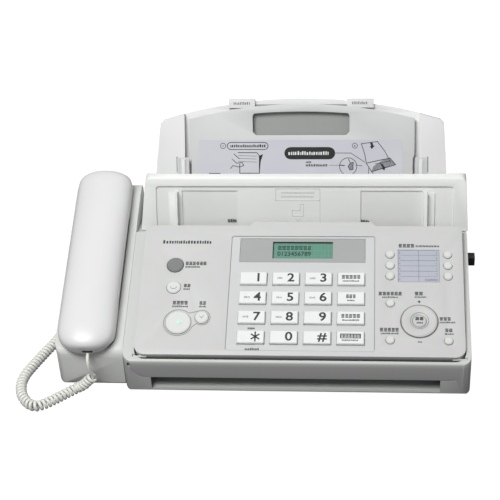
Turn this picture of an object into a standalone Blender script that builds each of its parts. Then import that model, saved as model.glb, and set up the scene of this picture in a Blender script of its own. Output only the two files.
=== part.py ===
"""Plain-paper fax machine with a corded handset, for Blender 4.5.

Units are metres and +Z is up. Parts are laid out in the layout frame: its floor is
Z = 0, its front face is Y = 0, and X grows to the right. The empty called machine
carries that frame, so that the world origin lies under the middle of the machine.
Tilted groups have frames of their own, whose local Z is the outward normal.
"""
import math

import bmesh
import bpy
from mathutils import Matrix, Vector

# Overall body
LAYOUT_SHIFT = (-0.00285, -0.12025, 0.0)
BODY_LEFT, BODY_RIGHT = -0.120, 0.1785
BODY_DEPTH = 0.2405
BODY_BOTTOM = 0.001
WALL = 0.0026
LIP_TOP = 0.0368
SHOULDER_FRONT = (0.0052, 0.0378)
SHOULDER_REAR = (0.1290, 0.0772)
GAP = 0.0003

# Control panel on the front cover
PANEL_TILT = math.radians(20.0)
PANEL_FRONT = (0.0, 0.0040, 0.0409)
COVER_LEFT, COVER_RIGHT = -0.1097, 0.1735
COVER_LENGTH = 0.1315
COVER_DEPTH = 0.008
COVER_SKIN = 0.003
COVER_HINGE = (0.0, 0.0058, 0.0365)

# Rear cover, document face and paper tray
REAR_HINGE = (0.0, 0.2290, 0.0545)
REAR_PIVOT_RADIUS = 0.00945
FACE_ORIGIN = (0.0, 0.1380, 0.0770)
FACE_TILT = math.radians(68.0)
TRAY_ORIGIN = (0.0, 0.1600, 0.1000)
TRAY_TILT = math.radians(62.0)
REAR_TOP = 0.1196

# Handset and its cradle
CRADLE_LEFT, CRADLE_RIGHT = -0.1803, -0.1203
CRADLE_FRAME = (0.0, 0.0080, 0.0382)
CRADLE_TILT = math.radians(17.5)
HANDSET_X = -0.152
HANDSET_HALF_WIDTH = 0.025
HANDSET_START, HANDSET_END = -0.0035, 0.1858
HANDSET_PARTING = 0.008
HANDSET_RIM = 0.0008

# Keys: the cap stands through a hole and a flange below the skin keeps it in
KEY_CLEARANCE = 0.0004
KEY_FLANGE = 0.0010
KEYPAD_LEFT, KEYPAD_TOP_ROW = -0.02117, 0.06933
KEY_PITCH_X, KEY_PITCH_W = 0.02854, 0.01951
KEY_WIDTH, KEY_LENGTH = 0.0233, 0.0121
KEYPAD_ROWS = (
    ("key_1", "key_2", "key_3", "redial_key"),
    ("key_4", "key_5", "key_6", "flash_key"),
    ("key_7", "key_8", "key_9", "handset_mute_key"),
    ("key_star", "key_0", "key_hash", "monitor_key"),
)
ROUND_KEYS = {
    "one_touch_key_1": (0.1100, 0.1014, 0.0037),
    "one_touch_key_2": (0.1100, 0.0901, 0.0037),
    "one_touch_key_3": (0.1100, 0.0792, 0.0037),
    "one_touch_key_4": (0.1603, 0.1014, 0.0037),
    "one_touch_key_5": (0.1603, 0.0901, 0.0037),
    "one_touch_key_6": (0.1603, 0.0792, 0.0037),
    "caller_id_key": (0.1101, 0.0521, 0.0037),
    "lower_key": (0.1099, 0.0159, 0.0037),
    "menu_key": (0.1593, 0.0156, 0.0037),
    "auto_answer_key": (-0.0800, 0.0894, 0.0074),
    "stop_key": (-0.0797, 0.0665, 0.0062),
    "start_key": (-0.0732, 0.0311, 0.0112),
    "copy_key": (-0.0529, 0.0363, 0.0059),
}
NAVIGATOR = (0.1348, 0.0344, 0.0154)
SET_KEY_RADIUS = 0.0058
DISPLAY = (-0.0229, 0.0880, 0.0935, 0.1177)
LCD = (0.0060, 0.0595, 0.0972, 0.1147)
CARD = (0.1170, 0.1528, 0.0738, 0.1063)

# Curly cord: centre line in the layout frame, from the handset's plug to the jack
CORD_COIL_RADIUS = 0.005
CORD_LEAD_RADIUS = 0.0017
CORD_ROUTE = (
    (-0.1490, 0.0042, 0.0418),
    (-0.1489, 0.0004, 0.0403),
    (-0.1487, -0.0030, 0.0372),
    (-0.1482, -0.0043, 0.0330),
    (-0.1473, -0.0042, 0.0280),
    (-0.1458, -0.0034, 0.0236),
    (-0.1446, -0.0026, 0.0210),
    (-0.1495, -0.0025, 0.0165),
    (-0.1550, -0.0025, 0.0105),
    (-0.1610, -0.0025, 0.0066),
    (-0.1680, -0.0065, 0.0053),
    (-0.1775, -0.0146, 0.0053),
    (-0.1885, -0.0228, 0.0053),
    (-0.1955, -0.0246, 0.0053),
    (-0.2025, -0.0205, 0.0053),
    (-0.2090, -0.0110, 0.0053),
    (-0.2120, 0.0010, 0.0053),
    (-0.2110, 0.0130, 0.0053),
    (-0.2058, 0.0270, 0.0053),
    (-0.1981, 0.0444, 0.0053),
    (-0.1905, 0.0610, 0.0053),
    (-0.1872, 0.0740, 0.0053),
    (-0.1874, 0.0850, 0.0058),
    (-0.1900, 0.0930, 0.0072),
    (-0.1922, 0.1000, 0.0092),
    (-0.1904, 0.1060, 0.0112),
    (-0.1862, 0.1083, 0.0120),
    (-0.1843, 0.1083, 0.0120),
    (-0.1827, 0.1083, 0.0120),
)
COIL_FIRST, COIL_LAST = 6, 22
COIL_STEP, LEAD_STEP = 0.0065, 0.0025

AXIS_MATRICES = {
    "x": Matrix(((0, 0, 1, 0), (1, 0, 0, 0), (0, 1, 0, 0), (0, 0, 0, 1))),
    "y": Matrix(((1, 0, 0, 0), (0, 0, -1, 0), (0, 1, 0, 0), (0, 0, 0, 1))),
    "z": Matrix.Identity(4),
}
AXIS_VECTORS = {"x": Vector((1, 0, 0)), "y": Vector((0, 1, 0)), "z": Vector((0, 0, 1))}

for old in list(bpy.data.objects):
    bpy.data.objects.remove(old, do_unlink=True)
PARTS = bpy.data.collections.new("fax_machine")
CUTTERS = bpy.data.collections.new("cutters")
bpy.context.scene.collection.children.link(PARTS)
bpy.context.scene.collection.children.link(CUTTERS)


# Helpers ---------------------------------------------------------------------

def frame(name, location, parent=None, tilt=0.0):
    """An empty that carries a group; tilt turns it about X."""
    empty = bpy.data.objects.new(name, None)
    empty.location = location
    empty.rotation_euler = (tilt, 0.0, 0.0)
    empty.parent = parent
    PARTS.objects.link(empty)
    return empty


def paint(obj, colour, roughness=0.45, metallic=0.0):
    """Give the part its own material."""
    material = bpy.data.materials.new(obj.name)
    material.use_nodes = True
    shader = material.node_tree.nodes["Principled BSDF"]
    shader.inputs["Base Color"].default_value = (*colour, 1.0)
    shader.inputs["Roughness"].default_value = roughness
    shader.inputs["Metallic"].default_value = metallic
    obj.data.materials.clear()
    obj.data.materials.append(material)


def place(name, mesh, parent, location=(0.0, 0.0, 0.0)):
    obj = bpy.data.objects.new(name, mesh)
    obj.location = location
    obj.parent = parent
    PARTS.objects.link(obj)
    return obj


def from_bmesh(name, bm, parent, location=(0.0, 0.0, 0.0)):
    mesh = bpy.data.meshes.new(name)
    bmesh.ops.recalc_face_normals(bm, faces=bm.faces)
    bm.to_mesh(mesh)
    bm.free()
    return place(name, mesh, parent, location)


def add_box(bm, x, y, z):
    """A box between the low and high value on each axis."""
    low = Vector((x[0], y[0], z[0]))
    high = Vector((x[1], y[1], z[1]))
    matrix = Matrix.Translation((low + high) / 2) @ Matrix.Diagonal((*(high - low), 1.0))
    bmesh.ops.create_cube(bm, size=1.0, matrix=matrix)


def add_rod(bm, axis, centre, radius, low, high, segments=24):
    """A cylinder along an axis; centre holds the two other coordinates."""
    middle = (low + high) / 2
    a, b = centre
    spot = {"x": (middle, a, b), "y": (a, middle, b), "z": (a, b, middle)}[axis]
    matrix = Matrix.Translation(spot) @ AXIS_MATRICES[axis]
    bmesh.ops.create_cone(bm, cap_ends=True, segments=segments, radius1=radius,
                          radius2=radius, depth=high - low, matrix=matrix)


def box(name, x, y, z, parent):
    bm = bmesh.new()
    add_box(bm, x, y, z)
    return from_bmesh(name, bm, parent)


def rod(name, axis, centre, radius, low, high, parent, segments=24):
    bm = bmesh.new()
    add_rod(bm, axis, centre, radius, low, high, segments)
    return from_bmesh(name, bm, parent)


def slab(name, outline, axis, low, high, parent):
    """A flat outline, filled and extruded along an axis between low and high."""
    curve = bpy.data.curves.new(name, "CURVE")
    curve.dimensions = "2D"
    curve.fill_mode = "BOTH"
    curve.extrude = (high - low) / 2
    spline = curve.splines.new("POLY")
    spline.points.add(len(outline) - 1)
    for point, (u, v) in zip(spline.points, outline):
        point.co = (u, v, 0.0, 1.0)
    spline.use_cyclic_u = True
    source = bpy.data.objects.new(name, curve)
    PARTS.objects.link(source)
    depsgraph = bpy.context.evaluated_depsgraph_get()
    mesh = bpy.data.meshes.new_from_object(source.evaluated_get(depsgraph))
    bpy.data.objects.remove(source, do_unlink=True)
    bpy.data.curves.remove(curve)
    middle = AXIS_VECTORS[axis] * (low + high) / 2
    mesh.transform(Matrix.Translation(middle) @ AXIS_MATRICES[axis])
    bm = bmesh.new()
    bm.from_mesh(mesh)
    bmesh.ops.remove_doubles(bm, verts=bm.verts, dist=0.00001)
    bpy.data.meshes.remove(mesh)
    return from_bmesh(name, bm, parent)


def arc(centre, radius, start, end, count):
    """Points on an arc, angles in degrees."""
    points = []
    for i in range(count + 1):
        angle = math.radians(start + (end - start) * i / count)
        points.append((centre[0] + radius * math.cos(angle),
                       centre[1] + radius * math.sin(angle)))
    return points


def ribbon(points, width):
    """Outline of a band of this width along a row of 2D points."""
    path = [Vector(point) for point in points]
    left, right = [], []
    for i, point in enumerate(path):
        along = (path[min(i + 1, len(path) - 1)] - path[max(i - 1, 0)]).normalized()
        side = Vector((-along.y, along.x)) * width / 2
        left.append(tuple(point + side))
        right.append(tuple(point - side))
    return right + left[::-1]


def rounded(u, v, radii, count=5):
    """A rectangle's outline with one radius for each corner, from low u and low v round."""
    corners = (((u[0], v[0]), (1, 1), 180), ((u[1], v[0]), (-1, 1), 270),
               ((u[1], v[1]), (-1, -1), 0), ((u[0], v[1]), (1, -1), 90))
    points = []
    for (corner, inward, start), radius in zip(corners, radii):
        if radius == 0:
            points.append(corner)
            continue
        centre = (corner[0] + inward[0] * radius, corner[1] + inward[1] * radius)
        points += arc(centre, radius, start, start + 90, count)
    return points


def turned(name, profile, parent, location, steps=24):
    """A turned piece about local Z from a profile that runs down its outer side."""
    mesh = bpy.data.meshes.new(name)
    points = [(r, 0.0, z) for r, z in profile]
    edges = [(i, i + 1) for i in range(len(points) - 1)]
    if profile[0][0] > 0.0:
        edges.append((len(points) - 1, 0))
    mesh.from_pydata(points, edges, [])
    obj = place(name, mesh, parent, location)
    screw = obj.modifiers.new("turn", "SCREW")
    screw.steps = steps
    screw.render_steps = steps
    screw.use_merge_vertices = True
    screw.merge_threshold = 0.00001
    return obj


def boolean(target, operation, *tools):
    """Apply each tool to the target and park it with the cutters."""
    for tool in tools:
        modifier = target.modifiers.new(tool.name, "BOOLEAN")
        modifier.operation = operation
        modifier.solver = "EXACT"
        modifier.object = tool
        PARTS.objects.unlink(tool)
        CUTTERS.objects.link(tool)
        tool.hide_render = True
        tool.display_type = "WIRE"
    return target


def cut(target, *tools):
    return boolean(target, "DIFFERENCE", *tools)


def join(target, *tools):
    return boolean(target, "UNION", *tools)


def common(target, *tools):
    return boolean(target, "INTERSECT", *tools)


def hang(obj, hinge):
    """Parent a part modelled in the layout frame to an untilted joint frame."""
    obj.parent = hinge
    obj.location = -Vector(hinge.location)
    return obj


MACHINE = frame("machine", LAYOUT_SHIFT)
FRONT_HINGE = frame("front_cover_hinge", COVER_HINGE, MACHINE)
PANEL = frame("panel_frame", Vector(PANEL_FRONT) - Vector(COVER_HINGE), FRONT_HINGE, PANEL_TILT)
REAR = frame("rear_cover_hinge", REAR_HINGE, MACHINE)
FACE = frame("document_face_frame", Vector(FACE_ORIGIN) - Vector(REAR_HINGE), REAR, FACE_TILT)
TRAY = frame("tray_frame", Vector(TRAY_ORIGIN) - Vector(REAR_HINGE), REAR, TRAY_TILT)
CRADLE = frame("cradle_frame", CRADLE_FRAME, MACHINE, CRADLE_TILT)

WHITE = (0.80, 0.80, 0.77)
KEY_WHITE = (0.90, 0.90, 0.88)
GREY = (0.42, 0.43, 0.43)
DARK = (0.05, 0.05, 0.05)
STEEL = (0.62, 0.62, 0.64)


# Base ------------------------------------------------------------------------

BEARING_WALLS = ((-0.1060, -0.1030), (0.1660, 0.1690))
REAR_EARS = ((-0.1044, -0.1014), (0.1655, 0.1685))
ROLLERS = {
    "feed_roller": (0.1220, 0.0580, 0.0080, 0.0030),
    "platen_roller": (0.1330, 0.0425, 0.0080, 0.0030),
    "film_takeup_roll": (0.1000, 0.0340, 0.0110, 0.0035),
    "film_supply_roll": (0.1720, 0.0420, 0.0150, 0.0035),
}
WELL_CORNERS = (0.0092, 0.0092, 0.0, 0.0)
SLOT_X = (-0.0963, 0.1526)
SLOT_Z = (0.0042, 0.0180)
LEVER_YZ = (0.1220, 0.0530)
LEVER_TRAVEL = 0.008


def base_casing():
    """Lower casing: walls, shoulders, exit slot, roller walls and rear hinge ears."""
    pivot = REAR_HINGE[1:]
    side = [(0.0020, BODY_BOTTOM), (BODY_DEPTH - 0.002, BODY_BOTTOM),
            (BODY_DEPTH, BODY_BOTTOM + 0.002), (BODY_DEPTH, 0.0480), (0.2390, 0.0500)]
    side += arc(pivot, REAR_PIVOT_RADIUS + 0.00045, -27, -170, 10)
    side += [(SHOULDER_REAR[0] + 0.002, SHOULDER_REAR[1] - 0.003), SHOULDER_REAR, SHOULDER_FRONT]
    side += arc((0.0024, LIP_TOP - 0.0024), 0.0024, 90, 180, 4)
    side += [(0.0, BODY_BOTTOM + 0.002)]
    casing = slab("base_casing", side, "x", BODY_LEFT - 0.01, BODY_RIGHT + 0.01, MACHINE)
    plan = slab("base_plan", rounded((BODY_LEFT, BODY_RIGHT), (-0.0002, BODY_DEPTH + 0.0002),
                                     (0.010, 0.009, 0.006, 0.006)), "z", -0.01, 0.12, MACHINE)
    common(casing, plan)
    well = slab("base_well", rounded((-0.1102, 0.1740), (WALL, BODY_DEPTH - 0.0025), WELL_CORNERS, 6),
                "z", -0.005, 0.15, MACHINE)
    channel_profile = [(0.0120, -0.005), (0.2360, -0.005), (0.2360, 0.0400), (0.2140, 0.0400),
                       (0.2090, 0.0520), (0.1305, 0.0712), (0.1280, 0.0738), (0.0120, 0.0369)]
    channel = slab("base_channel", channel_profile, "x", -0.1175, -0.1124, MACHINE)
    slot = box("exit_slot", SLOT_X, (-0.002, 0.006), SLOT_Z, MACHINE)
    cut(casing, well, channel, slot)

    bm = bmesh.new()
    add_box(bm, (-0.1110, 0.1750), (0.0020, 0.0700), (0.0196, 0.0214))
    roof = from_bmesh("exit_roof", bm, MACHINE)
    join(casing, roof)
    wall_profile = [(0.0860, 0.0048), (0.1920, 0.0048), (0.1920, 0.0480), (0.1400, 0.0600),
                    (0.1320, 0.0668), (0.1160, 0.0668), (0.1160, 0.0500), (0.0970, 0.0500),
                    (0.0860, 0.0460)]
    for i, (low, high) in enumerate(BEARING_WALLS):
        wall = slab(f"bearing_wall_{i}", wall_profile, "x", low, high, MACHINE)
        reach = (BODY_LEFT + 0.0089, low + 0.001) if i == 0 else (high - 0.001, 0.1750)
        bm = bmesh.new()
        for y in (0.0880, 0.1450, 0.1880):
            add_box(bm, reach, (y, y + 0.003), (0.008, 0.040))
        join(casing, wall, from_bmesh(f"bearing_web_{i}", bm, MACHINE))
    bm = bmesh.new()
    for y, z, _, shaft in ROLLERS.values():
        add_rod(bm, "x", (y, z), shaft + 0.0003, -0.1070, -0.1020)
        add_rod(bm, "x", (y, z), shaft + 0.0003, 0.1650, 0.1700)
    cut(casing, from_bmesh("shaft_holes", bm, MACHINE))

    y, z = COVER_HINGE[1:]
    notch = arc((y, z), 0.0013, 180, 360, 8) + [(y + 0.0013, z + 0.006), (y - 0.0013, z + 0.006)]
    seam_left = [(-0.0955, 0.0179), (-0.1030, 0.0184), (-0.1078, 0.0206), (-0.1115, 0.0250),
                 (-0.1136, 0.0300)]
    seam_right = [(0.1520, 0.0178), (0.1620, 0.0181), (0.1660, 0.0186)]
    cut(casing, slab("left_pin_notch", notch, "x", -0.1112, -0.0980, MACHINE),
        slab("right_pin_notch", notch, "x", 0.1618, 0.1750, MACHINE),
        slab("left_seam", ribbon(seam_left, 0.0006), "y", -0.002, 0.0012, MACHINE),
        slab("right_seam", ribbon(seam_right, 0.0006), "y", -0.002, 0.0007, MACHINE),
        box("latch_notch", (-0.1158, -0.1132), (-0.002, 0.0056), (0.0288, 0.0332), MACHINE))
    ear = [(0.2248, 0.0050), (0.2385, 0.0050), (0.2385, 0.0438), (0.2290, 0.0438)]
    ear += arc(pivot, 0.0042, -90, 180, 9)
    for i, (low, high) in enumerate(REAR_EARS):
        join(casing, slab(f"hinge_ear_{i}", ear, "x", low, high, MACHINE))
    bm = bmesh.new()
    for low, high in REAR_EARS:
        add_rod(bm, "x", pivot, 0.0026, low - 0.001, high + 0.001, 16)
    y, z = LEVER_YZ
    add_box(bm, (0.1730, 0.1800), (y - 0.0026, y + LEVER_TRAVEL + 0.0026), (z - 0.0026, z + 0.0026))
    add_box(bm, (0.0300, 0.0420), (0.2350, 0.2430), (0.0120, 0.0230))
    add_box(bm, (0.0520, 0.0640), (0.2350, 0.2430), (0.0120, 0.0230))
    add_box(bm, (0.1300, 0.1500), (0.2350, 0.2430), (0.0120, 0.0280))
    cut(casing, from_bmesh("side_and_rear_holes", bm, MACHINE))
    paint(casing, WHITE)


def bottom_plate():
    """Floor of the machine with its moulded feet and board posts."""
    plate = slab("bottom_plate", rounded((-0.1099, 0.1737), (WALL + 0.0003, 0.2377), WELL_CORNERS, 6),
                 "z", 0.0013, 0.0039, MACHINE)
    bm = bmesh.new()
    for x in (-0.096, 0.158):
        for y in (0.018, 0.222):
            add_rod(bm, "z", (x, y), 0.007, 0.0, 0.0020, 20)
    for x in (-0.050, 0.080):
        for y in (0.204, 0.226):
            add_rod(bm, "z", (x, y), 0.003, 0.0030, 0.0073, 10)
    join(plate, from_bmesh("feet_and_posts", bm, MACHINE))
    paint(plate, GREY)


def drive_parts():
    """Rollers, film rolls, print head, scanner bar, motor and board inside the base."""
    finish = {"feed_roller": (DARK, 0.8), "platen_roller": (DARK, 0.8),
              "film_takeup_roll": ((0.06, 0.06, 0.09), 0.3),
              "film_supply_roll": ((0.06, 0.06, 0.09), 0.3)}
    for name, (y, z, radius, shaft) in ROLLERS.items():
        profile = [(0.0, 0.1695), (shaft, 0.1695), (shaft, 0.1560), (radius, 0.1560),
                   (radius, -0.0960), (shaft, -0.0960), (shaft, -0.1080), (0.0, -0.1080)]
        roll = turned(name, profile, MACHINE, (0.0, y, z))
        roll.rotation_euler = (0.0, math.pi / 2, 0.0)
        paint(roll, *finish[name])
    head = box("thermal_head", (-0.0920, 0.1520), (0.1200, 0.1460), (0.0240, 0.0340), MACHINE)
    paint(head, STEEL, 0.4, 0.9)
    sensor = box("image_sensor", (-0.1000, 0.1610), (0.0975, 0.1120), (0.0510, 0.0620), MACHINE)
    paint(sensor, DARK, 0.3)
    bm = bmesh.new()
    add_rod(bm, "x", (0.0600, 0.0355), 0.0130, 0.1400, 0.1620, 24)
    motor = from_bmesh("drive_motor", bm, MACHINE)
    join(motor, rod("motor_shaft", "x", (0.0600, 0.0355), 0.0015, 0.1610, 0.1710, MACHINE, 12))
    paint(motor, STEEL, 0.35, 1.0)
    board = box("main_board", (-0.0600, 0.0900), (0.2000, 0.2320), (0.0076, 0.0092), MACHINE)
    bm = bmesh.new()
    add_box(bm, (-0.0300, -0.0050), (0.2060, 0.2200), (0.0088, 0.0118))
    add_box(bm, (0.0310, 0.0410), (0.2160, 0.2310), (0.0088, 0.0220))
    add_box(bm, (0.0530, 0.0630), (0.2160, 0.2310), (0.0088, 0.0220))
    join(board, from_bmesh("board_chips", bm, MACHINE))
    paint(board, (0.04, 0.22, 0.10), 0.5)


def release_lever():
    """Sliding lever through the right wall that frees the rear cover."""
    y, z = LEVER_YZ
    lever = box("release_lever", (0.1790, 0.1860), (y - 0.0040, y + 0.0040),
                (z - 0.0045, z + 0.0045), MACHINE)
    bm = bmesh.new()
    add_box(bm, (0.1720, 0.1800), (y - 0.0022, y + 0.0022), (z - 0.0022, z + 0.0022))
    stem = from_bmesh("lever_stem", bm, MACHINE)
    bm = bmesh.new()
    add_box(bm, (0.1705, 0.1732), (y - 0.0035, y + 0.0035), (z - 0.0045, z + 0.0045))
    join(lever, stem, from_bmesh("lever_keeper", bm, MACHINE))
    paint(lever, DARK, 0.4)


# Front cover -----------------------------------------------------------------

def front_cover():
    """Control panel cover with its keypad recess, key holes, grip lip and pivot pins."""
    x, length = (COVER_LEFT, COVER_RIGHT), COVER_LENGTH
    lip_left, lip_right, lip_length = -0.0119, 0.0937, 0.1356
    outline = rounded(x, (0.0, length), (0.009, 0.009, 0.005, 0.003), 6)
    top_right = len(outline) - 7
    outline[top_right:top_right] = [(lip_right + 0.003, length), (lip_right, lip_length),
                                    (lip_left, lip_length), (lip_left - 0.003, length)]
    cover = slab("front_cover", outline, "z", -COVER_DEPTH, 0.0, PANEL)
    bm = bmesh.new()
    add_box(bm, (lip_left - 0.005, lip_right + 0.005), (length + 0.0001, length + 0.010),
            (-0.02, -COVER_SKIN))
    pocket = rounded((x[0] + 0.0025, x[1] - 0.0025), (0.0025, length - 0.0025),
                     (0.0065, 0.0065, 0.0030, 0.0020), 4)
    cut(cover, from_bmesh("lip_underside", bm, PANEL),
        slab("cover_pocket", pocket, "z", -0.02, -COVER_SKIN, PANEL))

    recess = slab("keypad_recess", rounded((-0.0309, 0.0967), (0.0047, 0.1201), (0.002,) * 4, 3),
                  "z", -0.0017, 0.001, PANEL)
    bm = bmesh.new()
    add_box(bm, (-0.0248, 0.0912), (0.0070, 0.0860), (-0.010, 0.002))
    add_box(bm, (LCD[0] - 0.003, LCD[1] + 0.003), (LCD[2] - 0.003, LCD[3] + 0.003), (-0.010, 0.002))
    windows = from_bmesh("panel_windows", bm, PANEL)
    card = box("card_recess", (CARD[0] - GAP, CARD[1] + GAP), (CARD[2] - GAP, CARD[3] + GAP),
               (-0.0011, 0.001), PANEL)
    bm = bmesh.new()
    for key_x, key_w, radius in (*ROUND_KEYS.values(), NAVIGATOR):
        add_rod(bm, "z", (key_x, key_w), radius + KEY_CLEARANCE, -0.010, 0.002,
                32 if radius > 0.01 else 20)
    cut(cover, recess, windows, card, from_bmesh("key_holes", bm, PANEL))

    y, z = COVER_HINGE[1:]
    bm = bmesh.new()
    add_rod(bm, "x", (y, z), 0.0010, -0.1108, COVER_LEFT + 0.0110, 12)
    add_rod(bm, "x", (y, z), 0.0010, COVER_RIGHT - 0.0110, 0.1746, 12)
    join(cover, hang(from_bmesh("cover_pins", bm, FRONT_HINGE), FRONT_HINGE))
    paint(cover, WHITE)

    liner_outline = rounded((-0.1068, 0.1706), (0.0095, 0.1286), (0.0, 0.0, 0.005, 0.005), 4)
    liner = slab("cover_liner", liner_outline, "z", -0.0079, -0.0065, PANEL)
    paint(liner, GREY)


def panel_inlays():
    """Keypad plate, display lens, display and directory card."""
    plate = slab("keypad_plate", rounded((-0.0306, 0.0964), (0.0050, 0.1198), (0.0017,) * 4, 3),
                 "z", -0.0014, -0.0003, PANEL)
    bm = bmesh.new()
    for row in range(4):
        for column in range(4):
            x = KEYPAD_LEFT + column * KEY_PITCH_X
            w = KEYPAD_TOP_ROW - row * KEY_PITCH_W
            add_box(bm, (x - KEY_CLEARANCE, x + KEY_WIDTH + KEY_CLEARANCE),
                    (w - KEY_CLEARANCE, w + KEY_LENGTH + KEY_CLEARANCE), (-0.003, 0.001))
    add_box(bm, (DISPLAY[0] - GAP, DISPLAY[1] + GAP), (DISPLAY[2] - GAP, DISPLAY[3] + GAP),
            (-0.003, 0.001))
    cut(plate, from_bmesh("plate_holes", bm, PANEL))
    paint(plate, WHITE)

    lens = box("display_lens", DISPLAY[:2], DISPLAY[2:], (-0.0014, -0.0004), PANEL)
    cut(lens, box("lens_window", LCD[:2], LCD[2:], (-0.003, 0.001), PANEL))
    paint(lens, GREY, 0.3)
    lcd = box("lcd_panel", (LCD[0] - 0.002, LCD[1] + 0.002), (LCD[2] - 0.002, LCD[3] + 0.002),
              (-0.0035, -0.0018), PANEL)
    paint(lcd, (0.25, 0.42, 0.33), 0.25)
    card = box("directory_card", CARD[:2], CARD[2:], (-0.0008, -0.0001), PANEL)
    paint(card, (0.66, 0.67, 0.80), 0.3)


def rectangular_key_mesh():
    """Cap and flange grown from one box; the origin is at the cap's front left corner."""
    rim, round_off = KEY_FLANGE, 0.0006
    bm = bmesh.new()
    add_box(bm, (-rim, KEY_WIDTH + rim), (-rim, KEY_LENGTH + rim), (-0.0036, -0.0019))
    rise = [(rim, 0.0), (0.0, 0.0019 + 0.0020), (round_off, round_off)]
    for inset, height in rise:
        bm.faces.ensure_lookup_table()
        top = max(bm.faces, key=lambda face: face.calc_center_median().z)
        if inset == 0.0:
            side = bmesh.ops.extrude_face_region(bm, geom=[top])["geom"]
            bm.faces.remove(top)
            moved = [item for item in side if isinstance(item, bmesh.types.BMVert)]
        else:
            bmesh.ops.inset_region(bm, faces=[top], thickness=inset, use_even_offset=True)
            moved = list(top.verts)
        bmesh.ops.translate(bm, vec=(0.0, 0.0, height), verts=moved)
    bmesh.ops.recalc_face_normals(bm, faces=bm.faces)
    mesh = bpy.data.meshes.new("rectangular_key")
    bm.to_mesh(mesh)
    bm.free()
    return mesh


def keypad():
    for row, names in enumerate(KEYPAD_ROWS):
        for column, name in enumerate(names):
            x = KEYPAD_LEFT + column * KEY_PITCH_X
            w = KEYPAD_TOP_ROW - row * KEY_PITCH_W
            key = place(name, rectangular_key_mesh(), PANEL, (x, w, 0.0))
            paint(key, KEY_WHITE, 0.35)


def round_keys():
    for name, (x, w, radius) in ROUND_KEYS.items():
        height = 0.0018 if radius < 0.004 else 0.0015
        profile = [(0.0, height), (radius - 0.0010, height - 0.0001), (radius, height - 0.0009),
                   (radius, -0.0034), (radius + KEY_FLANGE, -0.0034),
                   (radius + KEY_FLANGE, -0.0050), (0.0, -0.0050)]
        key = turned(name, profile, PANEL, (x, w, 0.0), 32 if radius > 0.01 else 20)
        paint(key, GREY if name == "auto_answer_key" else KEY_WHITE, 0.35)
    x, w, radius = NAVIGATOR
    inner = SET_KEY_RADIUS + KEY_CLEARANCE
    ring = [(inner, 0.0006), (inner + 0.0010, 0.0012), (radius - 0.0014, 0.0016),
            (radius, 0.0008), (radius, -0.0038), (radius + KEY_FLANGE, -0.0038),
            (radius + KEY_FLANGE, -0.0050), (inner, -0.0050)]
    paint(turned("navigator_ring", ring, PANEL, (x, w, 0.0), 32), WHITE, 0.4)
    centre = [(0.0, 0.0016), (SET_KEY_RADIUS - 0.001, 0.0015), (SET_KEY_RADIUS, 0.0008),
              (SET_KEY_RADIUS, -0.0048), (0.0, -0.0048)]
    paint(turned("set_key", centre, PANEL, (x, w, 0.0), 20), WHITE, 0.4)


# Rear cover ------------------------------------------------------------------

RECESS = (-0.1020, 0.1665, 0.0375)
POCKETS = ((-0.0784, -0.0276), (0.0836, 0.1388))
TRAY_SLOT = (-0.1040, 0.1620)
SWING = 0.139


def rear_cover():
    """Housing behind the panel: document face, tray well and sloping back."""
    pivot = REAR_HINGE[1:]
    outline = [(0.1368, 0.0735), (0.1542, REAR_TOP - 0.0016), (0.1558, REAR_TOP),
               (0.1615, REAR_TOP), (0.1630, REAR_TOP - 0.001), (0.1860, 0.0990),
               (0.2150, 0.0745)]
    outline += arc(pivot, REAR_PIVOT_RADIUS, 56, -178, 20)
    housing = slab("rear_cover", outline, "x", BODY_LEFT, BODY_RIGHT + 0.004, MACHINE)
    front_view = [(-0.1198, 0.0450), (0.1812, 0.0450)]
    front_view += arc((0.1782 - 0.0065, REAR_TOP - 0.0062), 0.0062, 5, 90, 5)
    front_view += arc((-0.1122 + 0.0065, REAR_TOP - 0.0062), 0.0062, 90, 175, 5)
    common(housing, slab("rear_front_view", front_view, "y", 0.10, 0.26, MACHINE))

    hollow = [(0.1420, 0.0520), (0.1420, 0.0700), (0.1452, 0.0780), (0.1568, 0.1080),
              (0.1590, 0.1165), (0.1625, 0.1165), (0.1843, 0.0968), (0.2136, 0.0720)]
    hollow += arc(pivot, REAR_PIVOT_RADIUS - 0.0025, 56, -25, 7)
    hollow += [(0.2400, 0.0503), (0.2400, 0.0400), (0.2200, 0.0400)]
    cut(housing, slab("rear_hollow", hollow, "x", -0.1070, 0.1728, MACHINE))
    well = [(-0.0480, -0.0085), (0.0450, -0.0085), (0.0450, 0.0020 + SWING * 0.075),
            (-0.0300, 0.0020), (-0.0480, 0.0020)]
    cut(housing, slab("tray_well", well, "x", *TRAY_SLOT, TRAY))
    recess = slab("document_recess", rounded(RECESS[:2], (-0.012, RECESS[2]), (0, 0, 0.003, 0.003), 3),
                  "z", -0.0016, 0.004, FACE)
    bm = bmesh.new()
    for low, high in POCKETS:
        add_box(bm, (low, high), (-0.0115, 0.0330), (-0.0031, 0.002))
    cut(housing, recess, from_bmesh("document_pockets", bm, FACE))

    bm = bmesh.new()
    add_rod(bm, "x", pivot, 0.0022, -0.1080, -0.1010, 16)
    add_rod(bm, "x", pivot, 0.0022, 0.1651, 0.1740, 16)
    join(housing, from_bmesh("rear_pins", bm, MACHINE))
    hang(housing, REAR)
    paint(housing, WHITE)


def document_guides():
    """Sliding paper guides on the document face; each is a foot and an upright wall."""
    for name, wall, foot in (("guide_left", (-0.0848, -0.0820), (-0.0905, -0.0838)),
                             ("guide_right", (0.1401, 0.1431), (0.1414, 0.1497))):
        guide = box(name, foot, (-0.0030, 0.0310), (-0.0013, -0.0003), FACE)
        join(guide, box(f"{name}_wall", wall, (-0.0070, 0.0325), (-0.00125, 0.0060), FACE))
        paint(guide, KEY_WHITE, 0.4)


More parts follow.
